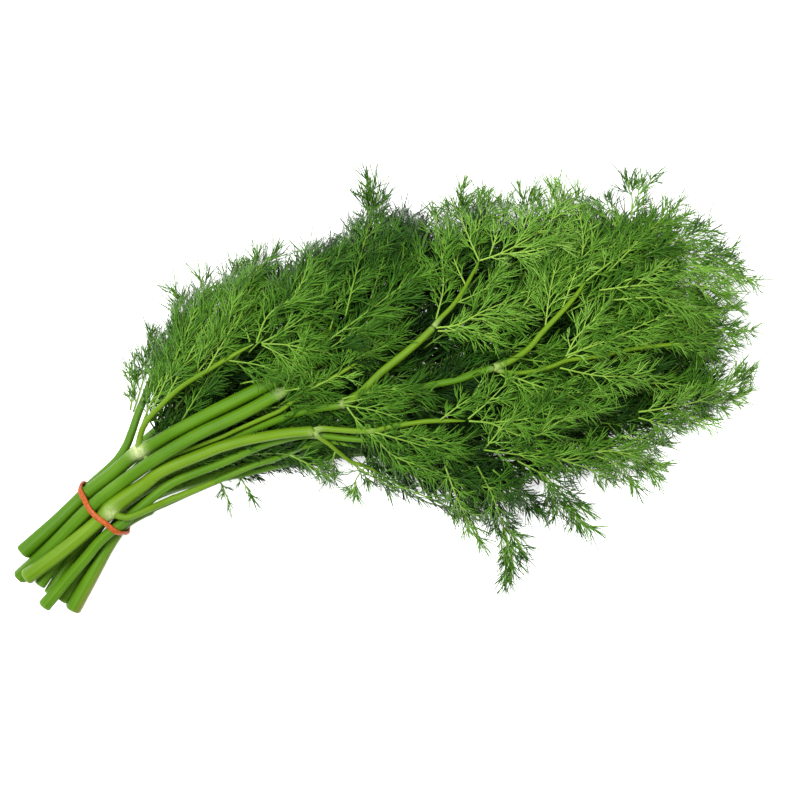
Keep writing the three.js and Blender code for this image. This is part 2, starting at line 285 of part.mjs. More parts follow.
function add(name, solid, grown, colour, roughness) {
  for (const other of placed) {
    if (!overlaps(solid, other)) continue;
    solid = settle(solid.subtract(other));
  }
  solid = largest(solid);
  const cutMesh = solid.getMesh();
  solid = largest(toManifold(cutMesh.vertProperties, Array.from(cutMesh.triVerts)));
  placed.push(settle(grown.add(solid)));
  const m = solid.getMesh();
  const verts = m.numProp === 3 ? m.vertProperties : null;
  let g = new THREE.BufferGeometry();
  g.setAttribute('position', new THREE.BufferAttribute(new Float32Array(verts), 3));
  g.setIndex(new THREE.BufferAttribute(new Uint32Array(m.triVerts), 1));
  g.computeVertexNormals();
  const mesh = new THREE.Mesh(g, new THREE.MeshStandardMaterial({ color: colour, roughness, metalness: 0 }));
  mesh.name = name;
  group.add(mesh);
}

add('rubber_band', bandLoop(), bandLoop(GAP * 0.8), COLOURS.band, 0.5);

for (const s of STEMS) {
  const stalk = s.name.startsWith('stalk');
  const sides = stalk ? STALK_SIDES : STEM_SIDES;
  const flare = stalk ? 0 : STEM_FLARE;
  add(s.name, tube(s.path, s.radii[0], s.radii[1], sides, 0, flare),
    tube(s.path, s.radii[0], s.radii[1], sides, GAP, flare), stalk ? COLOURS.stalk : COLOURS.stem, 0.45);
}

const byName = new Map();
for (const leaf of LEAVES) {
  if (!byName.has(leaf.name)) byName.set(leaf.name, []);
  byName.get(leaf.name).push(leaf);
}
const leafOrder = [...byName.entries()].sort((a, b) => (a[1][0].level === 0 ? 0 : 1) - (b[1][0].level === 0 ? 0 : 1));
for (const [name, blades] of leafOrder) {
  let solid = blade(blades[0]), grown = blade(blades[0], GAP);
  for (const b of blades.slice(1)) { solid = solid.add(blade(b)); grown = grown.add(blade(b, GAP)); }
  add(name, solid, grown, blades[0].level > 0.7 ? COLOURS.leaf : COLOURS.leafLow, 0.6);
}

export default group;
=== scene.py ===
import math
import bpy
import numpy as np
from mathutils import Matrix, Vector


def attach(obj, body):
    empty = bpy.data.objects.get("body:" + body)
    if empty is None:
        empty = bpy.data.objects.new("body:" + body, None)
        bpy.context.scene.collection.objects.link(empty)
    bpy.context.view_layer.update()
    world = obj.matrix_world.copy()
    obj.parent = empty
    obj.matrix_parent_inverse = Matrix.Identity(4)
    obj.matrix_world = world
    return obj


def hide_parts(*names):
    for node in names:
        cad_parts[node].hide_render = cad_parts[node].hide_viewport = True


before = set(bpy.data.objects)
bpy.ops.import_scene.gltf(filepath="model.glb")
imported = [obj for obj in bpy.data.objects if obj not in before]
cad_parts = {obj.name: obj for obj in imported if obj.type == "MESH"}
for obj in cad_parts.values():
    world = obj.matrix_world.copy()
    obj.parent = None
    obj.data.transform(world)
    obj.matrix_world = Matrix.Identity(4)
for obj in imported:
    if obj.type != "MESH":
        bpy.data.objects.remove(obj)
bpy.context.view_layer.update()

MM = 0.001
CAMERA_XY = (8.850, -0.445)
CAMERA_HEIGHT = 650.0
CAMERA_FIELD = 336.0
CAMERA_TURN = -24.0
rng = np.random.default_rng(20417)

HEAP_X = [-166.2, -126.2, -101.2, -81.2, -61.1, -31.1, -1.2, 28.9, 58.9, 88.8, 118.8, 138.8, 158.8, 173.8]
HEAP_TOP = [21, 21.5, 25, 30, 35, 41, 45, 45, 42, 37, 30, 23, 14, 8]
EDGE_X = [-166.2, -141.2, -111.2, -91.2, -81.2, -71.2, -61.1, -51.1, -41.1, -31.1, -21.1, -11.2, -1.2, 8.8, 18.9, 28.9, 38.9, 48.9, 58.9, 68.8, 78.8, 88.8, 98.8, 108.8, 118.8, 128.8, 138.8, 148.8, 158.8, 168.8]
EDGE_RIGHT = [-22.4, -19.4, -2.4, -0.4, -0.4, -1.4, -2.4, -5.4, -11.4, -20.4, -22.4, -30.4, -41.4, -50.4, -60.4, -67.4, -62.4, -64.4, -68.4, -64.4, -67.4, -67.4, -62.4, -58.4, -58.4, -57.4, -53.4, -46.4, -24.4, -14.4]
EDGE_LEFT = [13.6, 17.6, 26.6, 43.6, 57.6, 65.6, 74.6, 76.6, 76.6, 75.6, 76.6, 75.6, 74.6, 74.6, 75.6, 78.6, 76.6, 65.6, 62.6, 62.6, 57.6, 53.6, 50.6, 46.6, 41.6, 40.6, 40.6, 32.6, 14.6, 7.6]

# node, radius at the cut end or base, radius at the tip, centre line
STEMS = [
    ('stem_upper_left', 2.9, 2.6, [(-158.6, 5.5, 12.3), (-152.0, 7.6, 12.8), (-145.4, 9.7, 13.2), (-138.8, 11.9, 13.4), (-132.3, 14.3, 13.5), (-125.7, 16.5, 13.8), (-119.0, 18.2, 14.6), (-112.3, 19.7, 15.5), (-105.7, 21.6, 16.5), (-99.1, 23.4, 17.6), (-92.6, 23.6, 19.8), (-86.7, 24.1, 23.4), (-80.4, 24.7, 26.3), (-73.6, 25.1, 27.9), (-66.8, 25.5, 29.1), (-60.0, 25.8, 30.6), (-53.2, 26.0, 32.0), (-46.4, 26.2, 33.4), (-39.6, 26.4, 34.7), (-32.8, 26.7, 35.9), (-25.9, 27.8, 35.9), (-19.4, 29.8, 34.8), (-13.2, 32.5, 33.4), (-7.1, 35.3, 31.7), (-1.1, 38.2, 29.8)]),
    ('stem_centre_left', 2.8, 2.5, [(-164.6, -3.4, 9.5), (-158.3, -1.3, 11.4), (-152.0, 0.8, 13.2), (-145.6, 3.0, 14.8), (-139.2, 5.4, 16.1), (-132.7, 7.9, 17.3), (-126.2, 10.2, 18.4), (-119.7, 12.1, 19.5), (-113.0, 13.7, 20.8), (-106.3, 15.2, 21.9), (-99.7, 16.4, 24.0), (-93.3, 17.4, 26.7), (-86.6, 18.3, 28.0), (-79.8, 19.1, 28.9), (-73.1, 19.7, 29.9), (-66.4, 20.0, 30.9), (-59.6, 20.0, 31.8), (-52.8, 20.1, 32.9), (-46.2, 20.4, 34.4), (-39.6, 20.9, 36.0), (-32.9, 21.4, 37.3), (-26.1, 20.7, 37.2)]),
    ('stem_front', 3, 2, [(-160.0, -4.5, 17.5), (-153.2, -3.2, 18.4), (-146.4, -1.8, 19.1), (-139.7, -0.2, 19.4), (-133.0, 1.6, 19.5), (-126.4, 3.5, 19.7), (-119.8, 5.6, 20.1), (-113.3, 7.7, 21.0), (-106.6, 9.2, 21.5), (-99.8, 10.5, 22.3), (-93.4, 12.1, 24.1), (-86.6, 12.5, 24.8), (-79.7, 12.3, 25.1), (-72.8, 12.0, 25.9), (-66.0, 11.7, 26.6), (-59.2, 10.8, 27.4), (-52.5, 9.6, 28.7), (-46.0, 8.0, 30.5), (-39.8, 6.4, 32.8), (-33.4, 4.4, 34.6), (-27.0, 2.0, 35.8)]),
    ('stem_centre_right', 2.3, 1.5, [(-156.4, -14.7, 8.7), (-150.7, -10.7, 8.8), (-145.0, -6.6, 8.9), (-139.2, -2.7, 9.0), (-133.0, 0.5, 9.4), (-126.5, 3.0, 10.2), (-119.8, 5.0, 11.0), (-113.0, 6.6, 11.6), (-106.1, 7.9, 11.9), (-99.1, 8.8, 12.2), (-92.2, 9.3, 12.7), (-85.2, 8.9, 13.1), (-78.2, 8.6, 12.6), (-71.2, 8.2, 13.1), (-64.3, 8.0, 14.3), (-57.5, 8.1, 16.0), (-50.8, 8.1, 18.1), (-44.2, 7.9, 20.7), (-37.6, 7.6, 23.2), (-30.9, 7.1, 25.3), (-24.2, 6.3, 27.0), (-17.4, 5.3, 28.5), (-10.5, 4.4, 29.7), (-3.6, 3.8, 30.6), (3.4, 3.7, 31.1), (10.4, 4.0, 31.2), (17.4, 4.5, 31.0), (24.4, 4.9, 31.0)]),
    ('stem_right', 2.4, 1.3, [(-159.2, -18.4, 13.7), (-153.1, -15.6, 14.3), (-146.9, -12.7, 15.0), (-140.7, -9.9, 15.9), (-134.5, -7.1, 16.9), (-128.4, -4.1, 17.8), (-122.0, -1.8, 18.6), (-115.3, -0.5, 19.0), (-108.7, 1.5, 19.0), (-102.1, 3.5, 19.0), (-95.5, 5.4, 18.9), (-88.7, 6.5, 18.9), (-81.8, 6.4, 18.7), (-74.9, 6.0, 19.0), (-68.1, 5.6, 19.8), (-61.3, 5.6, 20.9), (-54.7, 5.6, 22.8), (-48.3, 5.3, 25.2), (-42.1, 4.5, 27.9), (-35.8, 3.3, 30.2), (-29.5, 1.3, 31.9), (-23.4, -1.9, 31.6), (-17.4, -5.4, 31.2), (-11.6, -8.6, 32.6), (-5.8, -11.8, 34.5)]),
    ('stem_under_right', 2.3, 1.2, [(-153.1, -19.3, 7.5), (-147.1, -15.8, 7.6), (-141.0, -12.4, 7.5), (-134.5, -10.1, 7.3), (-128.2, -7.2, 7.0), (-122.2, -3.7, 6.8), (-117.0, 0.9, 7.4), (-111.0, 4.2, 8.0), (-104.1, 5.1, 8.2), (-97.1, 5.2, 8.2), (-90.3, 4.3, 8.2), (-83.4, 3.2, 8.3), (-76.5, 2.6, 8.4), (-69.5, 2.0, 8.6), (-62.6, 1.0, 8.8), (-55.8, -0.2, 9.3), (-49.0, -1.5, 9.9), (-42.2, -3.0, 10.5), (-35.5, -4.9, 11.0), (-28.9, -7.1, 11.2), (-22.4, -9.7, 11.3), (-16.1, -12.6, 11.2), (-9.9, -15.8, 11.0), (-3.9, -19.3, 10.8), (1.8, -23.3, 10.5), (7.1, -27.8, 10.2), (12.0, -32.7, 9.8), (16.9, -37.6, 9.4), (21.9, -42.5, 9.0)]),
    ('stem_outer_right', 2.9, 1.1, [(-150.0, -24.5, 9.5), (-144.3, -20.4, 10.4), (-138.7, -16.4, 11.3), (-133.1, -12.3, 12.0), (-127.5, -8.1, 12.3), (-121.7, -4.3, 12.6), (-115.6, -1.0, 13.1), (-108.9, 0.0, 13.7), (-101.9, 0.1, 13.5), (-95.0, 0.0, 13.1), (-88.1, -0.0, 12.7), (-81.2, -0.1, 12.2), (-74.3, -0.2, 12.0), (-67.4, -0.2, 12.1), (-60.5, -0.3, 12.6), (-53.6, -0.8, 13.3), (-47.0, -1.6, 14.6), (-41.3, -1.8, 18.2), (-36.6, -1.8, 23.1), (-31.5, -2.1, 27.5), (-24.9, -3.5, 27.8), (-19.1, -7.2, 27.3), (-13.7, -11.6, 26.8)]),
    ('stem_middle', 2, 1.5, [(-157.6, -9.7, 12.5), (-151.6, -6.2, 12.7), (-145.5, -2.8, 12.8), (-139.3, 0.6, 12.9), (-133.2, 4.0, 13.0), (-126.9, 7.2, 13.2), (-120.6, 10.1, 13.7), (-114.1, 12.7, 14.3), (-107.5, 15.1, 15.1), (-100.8, 17.2, 16.0), (-94.1, 18.9, 17.1), (-87.5, 19.9, 18.8), (-80.8, 20.4, 21.0), (-74.2, 20.9, 23.0), (-67.5, 21.8, 24.5), (-60.6, 22.9, 25.5), (-53.8, 24.3, 26.1), (-47.0, 25.8, 26.8), (-40.2, 27.2, 27.5), (-33.4, 28.9, 28.0), (-26.7, 31.0, 28.2), (-20.3, 33.8, 27.8), (-14.2, 37.2, 27.0), (-8.2, 40.7, 25.9), (-2.2, 44.3, 25.0)]),
    ('stem_long', 2.1, 1.3, [(-152.6, -1.7, 7.1), (-146.5, 1.9, 7.3), (-140.5, 5.6, 7.4), (-134.4, 9.3, 7.5), (-128.1, 12.5, 7.8), (-121.4, 14.8, 8.5), (-114.5, 16.1, 9.6), (-107.6, 16.7, 10.8), (-100.7, 16.9, 12.1), (-93.7, 16.5, 13.3), (-87.0, 15.8, 15.4), (-80.8, 15.2, 18.8), (-74.2, 14.5, 21.2), (-67.2, 13.8, 22.1), (-60.2, 13.1, 23.1), (-53.5, 12.9, 25.3), (-46.9, 12.7, 28.0), (-40.4, 12.4, 30.8), (-33.8, 11.8, 33.4), (-27.0, 10.8, 34.9), (-20.2, 9.2, 36.2), (-13.4, 7.4, 37.5), (-6.5, 8.3, 38.4), (0.4, 8.1, 39.2), (6.8, 4.9, 39.6), (13.3, 2.3, 40.2), (20.2, 0.5, 41.0), (27.1, -1.2, 41.4), (34.0, -2.6, 41.5), (41.1, -3.1, 41.3), (48.1, -4.1, 41.2)]),
    ('stem_under_left', 2.2, 1.3, [(-158.0, 2.6, 6.7), (-151.9, 5.6, 7.0), (-145.8, 8.7, 7.3), (-139.8, 11.8, 7.7), (-133.7, 14.9, 8.0), (-127.5, 17.7, 8.3), (-121.1, 20.1, 8.7), (-114.6, 22.1, 9.1), (-108.2, 24.5, 9.4), (-102.5, 28.2, 9.6), (-97.6, 33.0, 9.6), (-93.0, 38.0, 9.4), (-88.1, 42.8, 9.2), (-83.3, 47.6, 9.0), (-78.4, 52.3, 8.7), (-73.3, 56.9, 8.3), (-68.0, 61.2, 7.7), (-62.4, 65.0, 6.9), (-56.9, 68.9, 6.0)]),
    ('stem_core', 2.2, 1.4, [(-154.4, -8.1, 4.4), (-148.3, -4.6, 4.5), (-142.3, -1.2, 4.6), (-136.2, 2.3, 4.7), (-130.1, 5.6, 4.8), (-123.9, 8.8, 5.1), (-117.6, 11.8, 5.5), (-111.2, 14.5, 6.1), (-104.8, 17.0, 6.9), (-98.3, 19.5, 7.9), (-91.8, 21.8, 8.9), (-85.3, 24.0, 10.1), (-78.8, 26.1, 11.3), (-72.2, 28.2, 12.4), (-65.6, 30.2, 13.5), (-58.9, 32.2, 14.4), (-52.3, 34.2, 15.2), (-45.6, 36.2, 15.9), (-38.9, 38.1, 16.5), (-32.3, 40.0, 17.0), (-25.6, 42.0, 17.4), (-18.9, 44.0, 17.7), (-12.2, 46.0, 18.0), (-5.6, 48.1, 18.1), (1.1, 50.1, 18.1), (7.8, 52.0, 17.9), (14.5, 53.7, 17.3), (21.3, 55.1, 16.4), (28.0, 56.4, 15.2), (34.8, 57.7, 14.0)]),
    ('stem_base_right', 2, 1.4, [(-149.3, -11.7, 2.6), (-143.4, -8.0, 2.8), (-137.6, -4.2, 2.9), (-131.8, -0.4, 3.1), (-125.8, 3.1, 3.3), (-119.6, 6.1, 3.7), (-113.0, 8.3, 4.4), (-106.3, 9.9, 5.2), (-99.5, 10.8, 6.1), (-92.6, 11.1, 6.9), (-85.8, 11.0, 7.8), (-78.9, 10.6, 8.6), (-72.0, 10.3, 9.5), (-65.1, 10.2, 10.4), (-58.3, 10.5, 11.3), (-51.4, 10.8, 12.3), (-44.5, 11.0, 13.3), (-37.7, 11.0, 14.2), (-30.8, 10.6, 15.1), (-24.0, 9.8, 15.8), (-17.2, 8.6, 16.6), (-10.4, 7.2, 17.4), (-3.7, 5.7, 18.0), (3.1, 4.1, 18.6), (9.8, 2.6, 19.0), (16.6, 1.1, 19.3), (23.4, -0.4, 19.4), (30.1, -2.0, 19.5), (36.8, -3.6, 19.4), (43.6, -5.1, 19.3), (50.4, -6.5, 19.0), (57.2, -7.7, 18.6), (64.0, -8.8, 18.1), (70.9, -9.8, 17.4), (77.7, -10.7, 16.7), (84.5, -11.7, 16.0)]),
    ('stem_base_left', 2, 1.3, [(-154.3, 0.8, 2.6), (-148.0, 3.7, 2.8), (-141.6, 6.7, 2.9), (-135.3, 9.6, 3.0), (-129.0, 12.5, 3.2), (-122.7, 15.4, 3.6), (-116.3, 18.2, 4.0), (-110.0, 21.1, 4.5), (-103.6, 23.8, 5.0), (-97.2, 26.4, 5.5), (-90.6, 28.7, 6.0), (-84.0, 30.7, 6.4), (-77.3, 32.5, 6.8), (-70.5, 34.2, 7.2), (-63.7, 35.7, 7.6), (-56.9, 37.3, 7.9), (-50.2, 38.9, 8.2), (-43.4, 40.5, 8.4), (-36.6, 42.0, 8.6), (-29.8, 43.5, 8.8), (-23.0, 44.8, 8.9), (-16.1, 45.9, 8.9), (-9.2, 46.8, 8.9), (-2.3, 47.5, 8.9), (4.7, 48.2, 8.8), (11.6, 48.7, 8.6), (18.5, 49.1, 8.4), (25.5, 49.4, 8.2), (32.5, 49.6, 7.9), (39.4, 49.6, 7.6), (46.4, 49.5, 7.2), (53.3, 49.2, 6.8), (60.2, 49.0, 6.4), (67.2, 48.7, 6.0)]),
    ('stem_base_outer', 1.9, 1.3, [(-143.8, -14.7, 2.5), (-138.0, -10.7, 2.5), (-132.4, -6.5, 2.6), (-126.6, -2.6, 2.8), (-120.5, 0.8, 3.0), (-113.9, 3.1, 3.3), (-107.0, 4.2, 3.7), (-100.1, 4.4, 4.2), (-93.1, 4.1, 4.3), (-86.1, 3.2, 4.4), (-79.2, 1.8, 4.4), (-72.4, 0.2, 4.4), (-65.6, -1.3, 4.5), (-58.7, -2.7, 4.8), (-51.8, -4.0, 5.0), (-44.9, -5.4, 5.3), (-38.1, -6.9, 5.6), (-31.3, -8.7, 5.9), (-24.6, -10.7, 6.2), (-17.9, -12.9, 6.5), (-11.3, -15.2, 6.8), (-4.8, -17.7, 7.1), (1.7, -20.4, 7.4), (8.0, -23.4, 7.5), (14.2, -26.8, 7.6), (20.1, -30.5, 7.6), (25.8, -34.6, 7.5), (31.4, -38.9, 7.3), (36.9, -43.1, 7.1), (42.6, -47.3, 7.0)]),
    ('stalk_left_leaf', 1.25, 0.85, [(-96.0, 25.3, 20.0), (-92.2, 30.5, 22.3), (-87.0, 33.9, 25.1), (-81.0, 36.1, 27.7), (-74.8, 38.3, 29.7), (-68.4, 40.0, 31.4), (-61.8, 40.9, 33.1), (-55.2, 41.5, 34.7), (-48.5, 42.3, 35.9), (-41.7, 42.9, 37.0), (-34.9, 43.3, 37.8)]),
    ('stalk_thin_left', 1, 0.8, [(-95.0, 19.9, 20.0), (-89.9, 17.9, 23.7), (-83.2, 16.7, 24.1), (-76.3, 16.0, 24.6), (-69.4, 15.6, 25.6), (-62.5, 15.2, 26.5), (-55.8, 15.3, 28.2), (-49.1, 15.2, 30.3), (-42.6, 15.1, 32.6), (-36.1, 15.1, 35.1), (-29.7, 16.5, 37.4), (-23.2, 17.9, 39.5), (-16.5, 18.2, 41.1), (-9.7, 18.6, 42.5), (-2.8, 19.5, 43.2), (4.0, 20.6, 43.7)]),
    ('stalk_upper_leaf', 1.6, 1.4, [(-12.8, 7.4, 37.2), (-7.0, 7.6, 41.4), (-0.7, 9.7, 43.5), (5.8, 12.2, 43.7), (12.6, 14.1, 43.6), (19.4, 15.9, 43.6), (26.1, 17.9, 43.3), (32.7, 20.3, 42.8)]),
    ('stalk_upper_leaf_tip', 1, 0.8, [(35.1, 21.8, 42.4), (42.2, 24.7, 41.2), (48.6, 28.4, 39.1), (54.5, 32.8, 36.5), (60.1, 37.3, 33.7)]),
    ('stalk_right_upper', 1.3, 0.9, [(50.2, -4.2, 41.0), (57.4, -3.9, 40.7), (64.2, -2.2, 39.8), (70.6, 0.9, 38.8), (77.1, 3.6, 37.6), (83.6, 6.2, 36.3), (89.9, 9.3, 34.8), (95.9, 12.7, 32.9)]),
    ('stalk_right_lower', 0.9, 0.8, [(49.4, -6.0, 41.1), (55.4, -9.5, 41.0), (61.9, -11.6, 40.1), (68.7, -12.7, 39.0), (75.5, -13.0, 37.9), (82.1, -14.9, 36.9), (88.7, -16.8, 35.7), (95.3, -18.1, 34.0), (101.8, -19.6, 32.3), (108.3, -21.4, 30.6), (114.7, -23.4, 28.7), (120.9, -25.6, 26.6), (127.1, -27.9, 24.6)]),
    ('stalk_front_leaf', 1.2, 0.9, [(-24.9, 2.0, 35.4), (-18.3, -1.3, 36.2), (-11.9, -4.6, 37.4), (-5.3, -7.4, 39.1), (1.7, -8.6, 41.0), (8.7, -10.5, 41.9), (15.7, -12.6, 42.2), (22.5, -15.4, 42.3), (29.2, -18.5, 42.1)]),
    ('stalk_hanging_leaf', 0.9, 0.8, [(-27.0, 0.3, 35.4), (-24.1, -5.3, 32.4), (-21.8, -10.5, 28.4), (-18.9, -15.7, 24.9), (-13.8, -20.1, 24.3), (-10.6, -25.2, 20.9)]),
]

